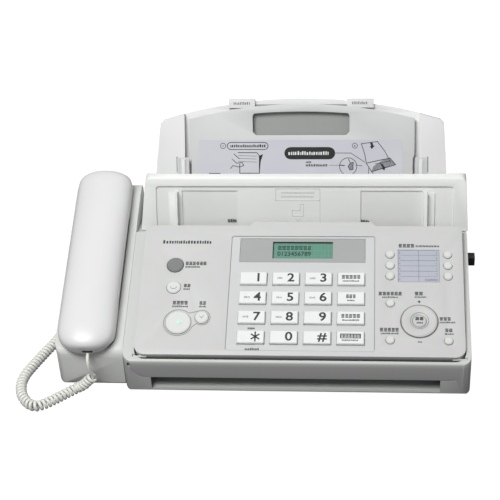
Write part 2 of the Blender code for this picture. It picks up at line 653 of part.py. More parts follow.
TRAY_X = (-0.1034, 0.1606)
TRAY_SHOULDER_X = (-0.0980, 0.1578)
TRAY_SHOULDER, TRAY_PEAK = 0.0655, 0.0840
TRAY_CHANNEL_X = (-0.0762, 0.1360)
TENSION_X = (-0.0718, 0.1318)


def crown(x_low, x_high, edge, peak, count):
    """Arched top edge from right to left between two ends at height edge."""
    half = (x_high - x_low) / 2
    sagitta = peak - edge
    radius = (half * half + sagitta * sagitta) / (2 * sagitta)
    spread = math.degrees(math.asin(half / radius))
    return arc(((x_low + x_high) / 2, peak - radius), radius, 90 - spread, 90 + spread, count)


def paper_tray():
    """Back plate with side bands, paper guide ribs and two lugs on its arched top."""
    outline = [(TRAY_X[0], -0.0400), (TRAY_X[1], -0.0400), (TRAY_X[1], 0.0150),
               (TRAY_SHOULDER_X[1], TRAY_SHOULDER - 0.003)]
    outline += crown(TRAY_SHOULDER_X[0] + 0.003, TRAY_SHOULDER_X[1] - 0.003,
                     TRAY_SHOULDER, TRAY_PEAK, 14)
    outline += [(TRAY_SHOULDER_X[0], TRAY_SHOULDER - 0.003), (TRAY_X[0], 0.0150)]
    tray = slab("paper_tray", outline, "z", -0.0080, 0.0, TRAY)
    low, high = TRAY_CHANNEL_X
    middle = [(low, -0.05), (high, -0.05), (high, 0.10), (low, 0.10)]
    cut(tray, slab("tray_middle", middle, "z", -0.0062, 0.005, TRAY))
    bm = bmesh.new()
    for x in (-0.0240, 0.0830):
        add_box(bm, (x - 0.0120, x + 0.0120), (0.0760, 0.0836), (-0.0079, -0.0030))
    lugs = from_bmesh("tray_lugs", bm, TRAY)
    bm = bmesh.new()
    for x in (low - 0.0030, high):
        add_box(bm, (x, x + 0.0030), (-0.0200, 0.0300), (-0.0010, 0.0016))
    join(tray, lugs, from_bmesh("tray_ribs", bm, TRAY))
    paint(tray, WHITE)


def tension_plate():
    """Inner plate that holds the paper back; its hole is the handle that pulls it open."""
    low, high = TENSION_X
    outline = [(low + 0.0015, -0.0330), (high - 0.0015, -0.0330), (high - 0.0015, 0.0300),
               (high, 0.0340), (high, 0.0662)]
    outline += crown(low + 0.0004, high - 0.0004, 0.0667, 0.0797, 10)
    outline += [(low, 0.0662), (low, 0.0340), (low + 0.0015, 0.0300)]
    hinge = frame("tension_plate_hinge", (0.0, -0.0300, -0.0009), TRAY)
    plate = slab("tension_plate", outline, "z", -0.0018, 0.0, TRAY)
    hole = [(-0.0110, 0.0515), (0.0703, 0.0515), (0.0733, 0.0545), (0.0733, 0.0690)]
    hole += crown(-0.0125, 0.0718, 0.0712, 0.0728, 6)
    hole += [(-0.0140, 0.0690), (-0.0140, 0.0545)]
    cut(plate, slab("tension_handle", hole, "z", -0.01, 0.01, TRAY))
    hang(plate, hinge)
    paint(plate, WHITE)


# Handset ---------------------------------------------------------------------

def handset_cradle():
    """Side module with a bed for the handset and an open underside."""
    top_rear = (0.1690, CRADLE_FRAME[2] + (0.1690 - CRADLE_FRAME[1]) * math.tan(CRADLE_TILT))
    side = [(0.0095, 0.0012), (0.1860, 0.0012), (0.1880, 0.0040), (0.1874, 0.0850),
            (0.1850, 0.0893), (0.1810, 0.0908), top_rear]
    side += [(0.0160, 0.0407), (0.0120, 0.0386), (0.0095, 0.0355), (0.0084, 0.0310), (0.0076, 0.0040)]
    cradle = slab("handset_cradle", side, "x", CRADLE_LEFT - 0.005, CRADLE_RIGHT + 0.005, MACHINE)
    plan = rounded((CRADLE_LEFT, CRADLE_RIGHT), (0.0070, 0.1885), (0.012, 0.0, 0.0, 0.010), 6)
    common(cradle, slab("cradle_plan", plan, "z", -0.01, 0.12, MACHINE))
    hollow = [(0.0130, -0.005), (0.1850, -0.005), (0.1850, 0.0754), (0.1760, 0.0754),
              (0.0200, 0.0262), (0.0130, 0.0262)]
    hollow_cut = slab("cradle_hollow", hollow, "x", CRADLE_LEFT + 0.0026, CRADLE_RIGHT - 0.0026, MACHINE)
    bed = slab("handset_bed", rounded((-0.1765, -0.1275), (0.0035, 0.1830), (0.013, 0.013, 0.011, 0.011), 5),
               "z", -0.0125, 0.020, CRADLE)
    bm = bmesh.new()
    add_box(bm, (-0.1554, -0.1486), (0.1546, 0.1654), (-0.030, 0.0))
    switch_hole = from_bmesh("hook_hole", bm, CRADLE)
    jack = box("handset_jack", (-0.1813, -0.1763), (0.1035, 0.1131), (0.0083, 0.0157), MACHINE)
    cut(cradle, hollow_cut, bed, switch_hole, jack)
    feet = bmesh.new()
    bars = bmesh.new()
    for y in (0.030, 0.170):
        add_rod(feet, "z", (-0.1720, y), 0.0035, 0.0, 0.0030, 12)
        add_rod(feet, "z", (-0.1270, y), 0.0035, 0.0, 0.0030, 12)
        add_box(bars, (-0.1790, -0.1214), (y - 0.0045, y + 0.0045), (0.0022, 0.0050))
    join(cradle, from_bmesh("cradle_bars", bars, MACHINE), from_bmesh("cradle_feet", feet, MACHINE))
    paint(cradle, WHITE)


def end_factor(v, sharpness_near=2.5, sharpness_far=3.2):
    """How far the handset has rounded up to full size at a place along it, 0 to 1."""
    near = (v - HANDSET_START) / 0.024
    far = (HANDSET_END - v) / 0.018
    factor = 1.0
    if near < 1.0:
        factor *= (1.0 - (1.0 - near) ** sharpness_near) ** (1.0 / sharpness_near)
    if far < 1.0:
        factor *= (1.0 - (1.0 - far) ** sharpness_far) ** (1.0 / sharpness_far)
    return factor


def pod(v):
    """How far the ear and mouth cups drop below the grip, 0 to 1."""
    def smooth(t):
        t = min(max(t, 0.0), 1.0)
        return t * t * (3.0 - 2.0 * t)
    mouth = smooth((v - 0.0055) / 0.009) * smooth((0.052 - v) / 0.014)
    ear = smooth((v - 0.134) / 0.014) * smooth((0.1795 - v) / 0.008)
    return max(mouth, ear)


HANDSET_STATIONS = (0.0004, 0.0018, 0.0045, 0.0085, 0.0125, 0.0170, 0.0250, 0.0420, 0.0500, 0.0580,
                    0.0900, 0.1350, 0.1420, 0.1500, 0.1620, 0.1730, 0.1780, 0.1825, 0.1860, 0.1882,
                    0.1890)


def handset_half(name, upper):
    """One shell of the handset, lofted through rounded sections and given a wall."""
    around = 10
    bm = bmesh.new()
    rows = []
    for station in HANDSET_STATIONS:
        v = HANDSET_START + station
        ends = end_factor(v)
        half_width = HANDSET_HALF_WIDTH * ends
        belly = math.sin(math.pi * (v - HANDSET_START) / (HANDSET_END - HANDSET_START))
        if upper:
            height, power = (0.0110 + 0.0050 * belly) * ends ** 0.5, 2.3
        else:
            height, power = -(0.0066 + 0.0090 * pod(v)) * ends ** 0.35, 3.0
        side = 1.0 if upper else -1.0
        section = [(-half_width, side * GAP / 2)]
        for j in range(around + 1):
            angle = math.pi * j / around
            c, s = math.cos(angle), math.sin(angle)
            across = -half_width * math.copysign(abs(c) ** (2.0 / power), c)
            section.append((across, side * HANDSET_RIM + height * s ** (2.0 / power)))
        section.append((half_width, side * GAP / 2))
        rows.append([bm.verts.new((HANDSET_X + across, v, HANDSET_PARTING + rise))
                     for across, rise in section])
    for first, second in zip(rows, rows[1:]):
        for j in range(len(first) - 1):
            bm.faces.new((first[j], first[j + 1], second[j + 1], second[j]))
    bm.faces.new(rows[0])
    bm.faces.new(rows[-1])
    shell = from_bmesh(name, bm, CRADLE)
    solidify = shell.modifiers.new("wall", "SOLIDIFY")
    solidify.thickness = 0.0020
    solidify.offset = -1.0
    return shell


def handset():
    """Two shells, the plug in the lower one's end, and the hook switch below."""
    top = handset_half("handset_shell", True)
    paint(top, KEY_WHITE, 0.25)
    under = handset_half("handset_underside", False)
    socket = box("plug_socket", (-0.1530, -0.1446), (-0.0070, 0.0100), (0.0021, 0.0071), CRADLE)
    cut(under, socket)
    paint(under, WHITE, 0.3)
    plug = box("handset_plug", (-0.1526, -0.1454), (-0.0022, 0.0090), (0.0025, 0.0067), CRADLE)
    paint(plug, (0.75, 0.76, 0.74), 0.2)
    switch = box("hook_switch", (-0.1550, -0.1490), (0.1550, 0.1650), (-0.0175, -0.0091), CRADLE)
    join(switch, box("hook_flange", (-0.1570, -0.1470), (0.1530, 0.1670), (-0.0185, -0.0154), CRADLE))
    paint(switch, GREY)
    jack = box("jack_plug", (-0.1823, -0.1768), (0.1047, 0.1119), (0.0097, 0.0143), MACHINE)
    paint(jack, (0.75, 0.76, 0.74), 0.2)


def catmull_rom(points, t):
    """Point on the smooth curve through the route; t counts route points."""
    i = min(int(t), len(points) - 2)
    local = t - i
    p1, p2 = points[i], points[i + 1]
    p0 = points[i - 1] if i > 0 else p1 * 2 - p2
    p3 = points[i + 2] if i + 2 < len(points) else p2 * 2 - p1
    return 0.5 * (2 * p1 + (p2 - p0) * local + (2 * p0 - 5 * p1 + 4 * p2 - p3) * local ** 2
                  + (3 * p1 - p0 - 3 * p2 + p3) * local ** 3)


def handset_cord():
    """One tube: slim leads at both ends and the curly cord's outer diameter between."""
    route = [Vector(point) for point in CORD_ROUTE]
    samples = [(t / 40.0, catmull_rom(route, t / 40.0)) for t in range(40 * (len(route) - 1) + 1)]
    chosen = [samples[0]]
    for sample in samples[:-20]:
        step = COIL_STEP if COIL_FIRST < sample[0] < COIL_LAST else LEAD_STEP
        if (sample[1] - chosen[-1][1]).length >= step:
            chosen.append(sample)
    chosen.append(samples[-1])
    curve = bpy.data.curves.new("handset_cord", "CURVE")
    curve.dimensions = "3D"
    curve.bevel_depth = CORD_COIL_RADIUS
    curve.bevel_resolution = 2
    curve.use_fill_caps = True
    spline = curve.splines.new("POLY")
    spline.points.add(len(chosen) - 1)
    for point, (t, place_on_route) in zip(spline.points, chosen):
        point.co = (*place_on_route, 1.0)
        coiled = COIL_FIRST - 0.01 <= t <= COIL_LAST + 0.01
        point.radius = 1.0 if coiled else CORD_LEAD_RADIUS / CORD_COIL_RADIUS
    cord = bpy.data.objects.new("handset_cord", curve)
    cord.parent = MACHINE
    PARTS.objects.link(cord)
    paint(cord, WHITE, 0.35)


base_casing()
bottom_plate()
drive_parts()
release_lever()
front_cover()
panel_inlays()
keypad()
round_keys()
rear_cover()
document_guides()
paper_tray()
tension_plate()
handset_cradle()
handset()
handset_cord()

for part in PARTS.objects:
    if part.type == "MESH":
        part.data.shade_smooth()
        part.data.set_sharp_from_angle(angle=math.radians(35.0))
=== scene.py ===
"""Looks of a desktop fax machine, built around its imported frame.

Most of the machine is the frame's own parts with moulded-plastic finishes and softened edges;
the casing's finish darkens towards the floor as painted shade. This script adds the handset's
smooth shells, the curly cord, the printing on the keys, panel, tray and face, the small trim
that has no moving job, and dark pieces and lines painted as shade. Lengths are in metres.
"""

import math
import random

import bmesh
import bpy
from mathutils import Matrix, Vector


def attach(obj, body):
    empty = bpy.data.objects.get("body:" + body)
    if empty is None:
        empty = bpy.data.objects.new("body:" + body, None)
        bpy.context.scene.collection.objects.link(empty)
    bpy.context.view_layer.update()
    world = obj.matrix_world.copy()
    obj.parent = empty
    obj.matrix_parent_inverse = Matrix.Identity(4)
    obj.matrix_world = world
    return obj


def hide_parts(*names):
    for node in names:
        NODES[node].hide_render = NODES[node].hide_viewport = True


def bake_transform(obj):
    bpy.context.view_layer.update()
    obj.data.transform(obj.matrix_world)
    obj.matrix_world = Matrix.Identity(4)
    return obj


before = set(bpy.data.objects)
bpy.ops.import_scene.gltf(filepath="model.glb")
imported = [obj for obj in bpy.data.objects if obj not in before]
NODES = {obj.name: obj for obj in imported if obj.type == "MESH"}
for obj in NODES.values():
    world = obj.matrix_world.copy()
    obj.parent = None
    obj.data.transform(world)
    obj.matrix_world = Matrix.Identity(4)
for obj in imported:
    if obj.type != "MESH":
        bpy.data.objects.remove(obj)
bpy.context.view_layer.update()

# From the layout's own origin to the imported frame's
LAYOUT_SHIFT = Vector((-0.00285, -0.12025, 0.0))


def tilted(y, z, degrees):
    place = Matrix.Translation(LAYOUT_SHIFT + Vector((0, y, z)))
    return place @ Matrix.Rotation(math.radians(degrees), 4, "X")


# Tilted planes of the machine: right, up the slope, out of the surface
PANEL = tilted(0.0040, 0.0409, 20.0)
FACE = tilted(0.1380, 0.0770, 68.0)
TRAY = tilted(0.1600, 0.1000, 62.0)
CRADLE = tilted(0.0080, 0.0382, 17.5)

# Camera and light -------------------------------------------------------------

CAMERA_PLACE = LAYOUT_SHIFT + Vector((0.09477, -0.89906, 0.86458))
CAMERA_TARGET = LAYOUT_SHIFT + Vector((-0.01424, 0.10308, 0.07714))
CAMERA_ROLL = math.radians(-3.56)
CAMERA_LENS = 103.38


def make_camera():
    data = bpy.data.cameras.new("camera")
    data.lens = CAMERA_LENS
    data.sensor_width = 36.0
    camera = bpy.data.objects.new("camera", data)
    bpy.context.scene.collection.objects.link(camera)
    back = (CAMERA_PLACE - CAMERA_TARGET).normalized()
    level_right = Vector((0, 0, 1)).cross(back).normalized()
    level_up = back.cross(level_right)
    right = math.cos(CAMERA_ROLL) * level_right + math.sin(CAMERA_ROLL) * level_up
    up = back.cross(right)
    matrix = Matrix((right, up, back)).transposed().to_4x4()
    matrix.translation = CAMERA_PLACE
    camera.matrix_world = matrix
    bpy.context.scene.camera = camera


def area_light(name, place, target, size, power):
    data = bpy.data.lights.new(name, "AREA")
    data.shape = "RECTANGLE"
    data.size, data.size_y = size
    data.energy = power
    light = bpy.data.objects.new(name, data)
    bpy.context.scene.collection.objects.link(light)
    light.location = place
    light.rotation_euler = (Vector(target) - Vector(place)).to_track_quat("-Z", "Y").to_euler()


def studio():
    make_camera()
    bpy.context.scene.view_settings.view_transform = "Standard"
    world = bpy.data.worlds.new("studio")
    world.use_nodes = True
    background = world.node_tree.nodes["Background"]
    background.inputs["Color"].default_value = (0.97, 0.985, 1.0, 1.0)
    background.inputs["Strength"].default_value = 0.28
    bpy.context.scene.world = world
    area_light("main_light", (-0.50, -0.85, 1.72), (0.0, 0.0, 0.08), (0.9, 0.7), 32.0)
    area_light("rear_light", (0.10, 0.90, 1.70), (0.0, 0.05, 0.08), (1.6, 0.8), 4.0)
    area_light("right_fill", (1.50, -0.30, 0.70), (0.0, 0.0, 0.06), (0.8, 0.8), 3.0)

    bm = bmesh.new()
    bmesh.ops.create_grid(bm, x_segments=2, y_segments=2, size=4.0)
    mesh = bpy.data.meshes.new("floor")
    bm.to_mesh(mesh)
    bm.free()
    floor = bpy.data.objects.new("floor", mesh)
    bpy.context.scene.collection.objects.link(floor)
    floor.location.z = -0.0002
    material, tree, shader = new_material("floor_paper")
    shader.inputs["Base Color"].default_value = (0.10, 0.10, 0.10, 1.0)
    shader.inputs["Roughness"].default_value = 0.9
    shader.inputs["Specular IOR Level"].default_value = 0.1
    shader.inputs["Emission Color"].default_value = (1.0, 1.0, 1.0, 1.0)
    seen = tree.nodes.new("ShaderNodeLightPath")
    tree.links.new(seen.outputs["Is Camera Ray"], shader.inputs["Emission Strength"])
    mesh.materials.append(material)


# Materials --------------------------------------------------------------------

def new_material(name):
    material = bpy.data.materials.new(name)
    material.use_nodes = True
    return material, material.node_tree, material.node_tree.nodes["Principled BSDF"]


def noise(tree, scale, detail=2.0):
    coords = tree.nodes.get("coords")
    if coords is None:
        coords = tree.nodes.new("ShaderNodeTexCoord")
        coords.name = "coords"
    texture = tree.nodes.new("ShaderNodeTexNoise")
    texture.inputs["Scale"].default_value = scale
    texture.inputs["Detail"].default_value = detail
    tree.links.new(coords.outputs["Object"], texture.inputs["Vector"])
    return texture.outputs["Fac"]


def remap(tree, value, low, high):
    node = tree.nodes.new("ShaderNodeMapRange")
    node.inputs["From Min"].default_value = 0.3
    node.inputs["From Max"].default_value = 0.7
    node.inputs["To Min"].default_value = low
    node.inputs["To Max"].default_value = high
    tree.links.new(value, node.inputs["Value"])
    return node.outputs["Result"]


def blend_colours(tree, factor, first, second):
    node = tree.nodes.new("ShaderNodeMix")
    node.data_type = "RGBA"
    node.inputs["A"].default_value = (*first, 1.0)
    node.inputs["B"].default_value = (*second, 1.0)
    tree.links.new(factor, node.inputs["Factor"])
    return node.outputs["Result"]


def add_bump(tree, shader, height, distance, strength):
    bump = tree.nodes.new("ShaderNodeBump")
    bump.inputs["Distance"].default_value = distance
    bump.inputs["Strength"].default_value = strength
    tree.links.new(height, bump.inputs["Height"])
    previous = shader.inputs["Normal"]
    if previous.is_linked:
        tree.links.new(previous.links[0].from_socket, bump.inputs["Normal"])
    tree.links.new(bump.outputs["Normal"], shader.inputs["Normal"])


# Heights over which the casing's painted shade fades out, from the floor side up to the lip
LIP_FOOT, LIP_EDGE = 0.031, 0.0365


def moulded(name, colour, roughness, grain=900.0, relief=0.35, shade=0.965, coat=0.0,
            painted_low_shade=None):
    """Injection-moulded plastic: spark-eroded grain, faint flow marks and uneven gloss.

    With painted_low_shade, the faint flow marks give way to painted shade: the colour darkens by
    that factor below the casing's lip, towards the floor.
    """
    material, tree, shader = new_material(name)
    if painted_low_shade is None:
        drift_and_painted_shade = remap(tree, noise(tree, 22.0, 3.0), 0.0, 1.0)
        darker = [channel * shade for channel in colour]
    else:
        # Painted shade: the colour darkens from the casing's lip down towards the floor
        place = tree.nodes.new("ShaderNodeNewGeometry")
        parts = tree.nodes.new("ShaderNodeSeparateXYZ")
        tree.links.new(place.outputs["Position"], parts.inputs[0])
        rise = tree.nodes.new("ShaderNodeMapRange")
        rise.inputs["From Min"].default_value = LIP_FOOT
        rise.inputs["From Max"].default_value = LIP_EDGE
        tree.links.new(parts.outputs["Z"], rise.inputs["Value"])
        drift_and_painted_shade = rise.outputs["Result"]
        darker = [channel * painted_low_shade for channel in colour]
    tree.links.new(blend_colours(tree, drift_and_painted_shade, darker, colour), shader.inputs["Base Color"])
    gloss = remap(tree, noise(tree, 75.0, 4.0), roughness - 0.05, roughness + 0.07)
    tree.links.new(gloss, shader.inputs["Roughness"])
    add_bump(tree, shader, noise(tree, 120.0, 1.0), 0.00004, 0.25)
    add_bump(tree, shader, noise(tree, grain, 2.0), 0.00005, relief)
    shader.inputs["Coat Weight"].default_value = coat
    shader.inputs["Coat Roughness"].default_value = 0.15
    shader.inputs["IOR"].default_value = 1.49
    return material


def metal(name, colour, roughness, stretch):
    """Drawn or machined metal with fine lines along one direction."""
    material, tree, shader = new_material(name)
    shader.inputs["Metallic"].default_value = 1.0
    coords = tree.nodes.new("ShaderNodeTexCoord")
    mapping = tree.nodes.new("ShaderNodeMapping")
    mapping.inputs["Scale"].default_value = stretch
    tree.links.new(coords.outputs["Object"], mapping.inputs["Vector"])
    lines = tree.nodes.new("ShaderNodeTexNoise")
    lines.inputs["Scale"].default_value = 400.0
    tree.links.new(mapping.outputs["Vector"], lines.inputs["Vector"])
    darker = [channel * 0.8 for channel in colour]
    tint = blend_colours(tree, lines.outputs["Fac"], darker, colour)
    tree.links.new(tint, shader.inputs["Base Color"])
    gloss = remap(tree, lines.outputs["Fac"], roughness, roughness + 0.15)
    tree.links.new(gloss, shader.inputs["Roughness"])
    add_bump(tree, shader, lines.outputs["Fac"], 0.00003, 0.3)
    return material


def circuit_board():
    """Green lacquer with copper tracks under it."""
    material, tree, shader = new_material("circuit_board")
    coords = tree.nodes.new("ShaderNodeTexCoord")
    tracks = tree.nodes.new("ShaderNodeTexBrick")
    tracks.inputs["Scale"].default_value = 130.0
    tracks.inputs["Mortar Size"].default_value = 0.06
    tracks.inputs["Color1"].default_value = (0.02, 0.16, 0.07, 1.0)
    tracks.inputs["Color2"].default_value = (0.03, 0.22, 0.09, 1.0)
    tracks.inputs["Mortar"].default_value = (0.09, 0.33, 0.12, 1.0)
    tree.links.new(coords.outputs["Object"], tracks.inputs["Vector"])
    tree.links.new(tracks.outputs["Color"], shader.inputs["Base Color"])
    gloss = remap(tree, noise(tree, 200.0), 0.25, 0.4)
    tree.links.new(gloss, shader.inputs["Roughness"])
    return material


def liquid_crystal():
    """Reflective green display with a faint grid of character cells."""
    material, tree, shader = new_material("lcd_green")
    coords = tree.nodes.new("ShaderNodeTexCoord")
    cells = tree.nodes.new("ShaderNodeTexBrick")
    cells.offset = 0.0
    cells.inputs["Scale"].default_value = 1.0
    cells.inputs["Brick Width"].default_value = 0.0031
    cells.inputs["Row Height"].default_value = 0.0052
    cells.inputs["Mortar Size"].default_value = 0.00025
    cells.inputs["Color1"].default_value = (0.115, 0.27, 0.205, 1.0)
    cells.inputs["Color2"].default_value = (0.125, 0.285, 0.215, 1.0)
    cells.inputs["Mortar"].default_value = (0.145, 0.315, 0.24, 1.0)
    tree.links.new(coords.outputs["Object"], cells.inputs["Vector"])
    tree.links.new(cells.outputs["Color"], shader.inputs["Base Color"])
    gloss = remap(tree, noise(tree, 90.0), 0.18, 0.26)
    tree.links.new(gloss, shader.inputs["Roughness"])
    return material


def printed_card(name, colour, tint):
    """Coated card: faint fibres and a colour that fades slowly across it."""
    material, tree, shader = new_material(name)
    fade = remap(tree, noise(tree, 16.0, 2.0), 0.0, 1.0)
    tree.links.new(blend_colours(tree, fade, colour, tint), shader.inputs["Base Color"])
    gloss = remap(tree, noise(tree, 240.0, 3.0), 0.3, 0.42)
    tree.links.new(gloss, shader.inputs["Roughness"])
    add_bump(tree, shader, noise(tree, 1500.0, 3.0), 0.00002, 0.3)
    return material


def ink(name, colour):
    """Pad-printed ink, a little uneven where it thins."""
    material, tree, shader = new_material(name)
    lighter = [channel * 1.5 + 0.01 for channel in colour]
    thin = remap(tree, noise(tree, 700.0, 2.0), 0.0, 1.0)
    tree.links.new(blend_colours(tree, thin, colour, lighter), shader.inputs["Base Color"])
    shader.inputs["Roughness"].default_value = 0.5
    return material


FINISHES = {
    # The casing's colour darkens below its lip as painted shade
    "body": moulded("body_white", (0.55, 0.56, 0.545), 0.5, painted_low_shade=0.66),
    "side": moulded("cradle_white", (0.62, 0.63, 0.61), 0.48),
    "rear": moulded("rear_cover_white", (0.81, 0.82, 0.80), 0.46),
    "cover": moulded("cover_white", (0.555, 0.56, 0.55), 0.44),
    "tray": moulded("tray_white", (0.74, 0.745, 0.735), 0.46),
    "plate": moulded("plate_white", (0.62, 0.625, 0.62), 0.46),
    # Grey of the painted shadow behind the tray's handle hole
    "shade": moulded("painted_shadow_grey", (0.33, 0.34, 0.325), 0.6),
    "handset": moulded("handset_white", (0.69, 0.695, 0.685), 0.33, 300.0, 0.02, 1.0),
    "key": moulded("key_white", (0.77, 0.78, 0.775), 0.3, 700.0, 0.15, 0.985),
    "dim": moulded("keypad_white", (0.575, 0.585, 0.58), 0.4),
    "round": moulded("round_key_white", (0.66, 0.67, 0.655), 0.36, 700.0, 0.15),
    "floor": moulded("floor_grey", (0.44, 0.46, 0.44), 0.5),
    "grey": moulded("grey_plastic", (0.17, 0.175, 0.175), 0.5),
    "band": moulded("display_grey", (0.37, 0.375, 0.375), 0.3, 1200.0, 0.1),
    "auto": moulded("auto_key_grey", (0.20, 0.205, 0.20), 0.35),
    # Dark plastic parts, and dark fills painted as shade in holes, slots, a recess and along the
    # display window
    "dark": moulded("dark_plastic", (0.012, 0.012, 0.012), 0.4),
    "cord": moulded("cord_white", (0.76, 0.755, 0.715), 0.33, 400.0, 0.2),
    "plug": moulded("clear_plug", (0.62, 0.63, 0.60), 0.18, 300.0, 0.1),
    "rubber": moulded("roller_rubber", (0.018, 0.018, 0.018), 0.75, 600.0, 0.8),
    "film": moulded("ink_film", (0.012, 0.012, 0.03), 0.2, 150.0, 0.25, 0.8, 0.3),
    "head": metal("print_head_metal", (0.62, 0.62, 0.64), 0.3, (0.05, 1.0, 1.0)),
    "steel": metal("motor_steel", (0.55, 0.55, 0.57), 0.32, (1.0, 1.0, 0.05)),
    "board": circuit_board(),
    "lcd": liquid_crystal(),
    "card": printed_card("card_lavender", (0.41, 0.43, 0.48), (0.46, 0.475, 0.53)),
    "label": printed_card("label_lavender", (0.56, 0.565, 0.62), (0.62, 0.625, 0.66)),
    "ink": ink("ink_dark", (0.02, 0.02, 0.022)),
    "soft_ink": ink("ink_grey", (0.20, 0.20, 0.22)),
    "line_ink": ink("ink_lines", (0.17, 0.18, 0.27)),
    "lcd_ink": ink("lcd_segments", (0.01, 0.035, 0.03)),
    "black": ink("ink_black", (0.008, 0.008, 0.008)),
    "white_ink": ink("ink_white", (0.60, 0.60, 0.60)),
    "green_ink": ink("ink_green", (0.42, 0.60, 0.53)),
    # Dark rim round the start and copy keys, and dark lines painted as shade in grooves and along a
    # recess edge
    "fine_line": moulded("dark_rim_and_painted_shade_line", (0.24, 0.24, 0.23), 0.5),
    # Raised marks on the document face, darkened as painted shade
    "emboss": moulded("emboss_painted_shade_grey", (0.61, 0.615, 0.60), 0.5),
}

NODE_MATERIALS = {
    "bottom_plate": "floor", "cover_liner": "grey", "hook_switch": "grey", "keypad_plate": "dim",
    "display_lens": "band", "lcd_panel": "lcd", "directory_card": "card", "auto_answer_key": "auto",
    "handset_plug": "plug", "jack_plug": "plug", "release_lever": "dark", "image_sensor": "dark",
    "platen_roller": "rubber", "feed_roller": "rubber", "film_supply_roll": "film",
    "film_takeup_roll": "film", "thermal_head": "head", "drive_motor": "steel",
    "main_board": "board", "front_cover": "cover", "paper_tray": "tray", "tension_plate": "plate",
    "rear_cover": "rear", "guide_left": "rear", "guide_right": "rear", "handset_cradle": "side",
    "navigator_ring": "cover", "set_key": "cover", "handset_cord": "cord",
    "handset_shell": "handset", "handset_underside": "handset",
}
ROUND_KEYS = ("one_touch_key_1", "one_touch_key_2", "one_touch_key_3", "one_touch_key_4",
              "one_touch_key_5", "one_touch_key_6", "caller_id_key", "lower_key", "menu_key",
              "stop_key", "start_key", "copy_key")
EDGE_WIDTHS = {
    "base_casing": 0.0013, "front_cover": 0.0008, "rear_cover": 0.0011, "paper_tray": 0.0007,
    "tension_plate": 0.0005, "handset_cradle": 0.0011, "guide_left": 0.0003, "guide_right": 0.0003,
    "release_lever": 0.0005, "bottom_plate": 0.0005,
}


def smooth_by_angle():
    """A node group that shades smooth and keeps edges sharper than 32 degrees crisp."""
    group = bpy.data.node_groups.new("smooth_by_angle", "GeometryNodeTree")
    group.interface.new_socket("Geometry", in_out="INPUT", socket_type="NodeSocketGeometry")
    group.interface.new_socket("Geometry", in_out="OUTPUT", socket_type="NodeSocketGeometry")
    enter = group.nodes.new("NodeGroupInput")
    leave = group.nodes.new("NodeGroupOutput")
    faces = group.nodes.new("GeometryNodeSetShadeSmooth")
    edges = group.nodes.new("GeometryNodeSetShadeSmooth")
    edges.domain = "EDGE"
    edges.inputs["Shade Smooth"].default_value = False
    angle = group.nodes.new("GeometryNodeInputMeshEdgeAngle")
    compare = group.nodes.new("FunctionNodeCompare")
    compare.operation = "GREATER_THAN"
    compare.inputs["B"].default_value = math.radians(32)
    group.links.new(enter.outputs[0], faces.inputs["Geometry"])
    group.links.new(angle.outputs["Unsigned Angle"], compare.inputs["A"])
    group.links.new(compare.outputs["Result"], edges.inputs["Selection"])
    group.links.new(faces.outputs["Geometry"], edges.inputs["Geometry"])
    group.links.new(edges.outputs["Geometry"], leave.inputs[0])
    return group


SMOOTH = smooth_by_angle()


def soften(obj, width):
    """Welds the facets, rounds the edges and shades the result smooth."""
    weld = obj.modifiers.new("weld", "WELD")
    weld.merge_threshold = 0.00001
    if width > 0.0:
        planar = obj.modifiers.new("planar", "DECIMATE")
        planar.decimate_type = "DISSOLVE"
        planar.angle_limit = math.radians(1.0)
        bevel = obj.modifiers.new("edges", "BEVEL")
        bevel.width = width
        bevel.segments = 3
        bevel.limit_method = "ANGLE"
        bevel.angle_limit = math.radians(40)
        bevel.use_clamp_overlap = True
    shade = obj.modifiers.new("smooth", "NODES")
    shade.node_group = SMOOTH


def finish_nodes():
    for name, obj in NODES.items():
        kind = NODE_MATERIALS.get(name)
        if kind is None and name in ROUND_KEYS:
            kind = "round"
        elif kind is None:
            kind = "key" if name.endswith("_key") or "key_" in name else "body"
        obj.data.materials.clear()
        obj.data.materials.append(FINISHES[kind])
        soften(obj, EDGE_WIDTHS.get(name, 0.0))


# Printing ----------------------------------------------------------------------

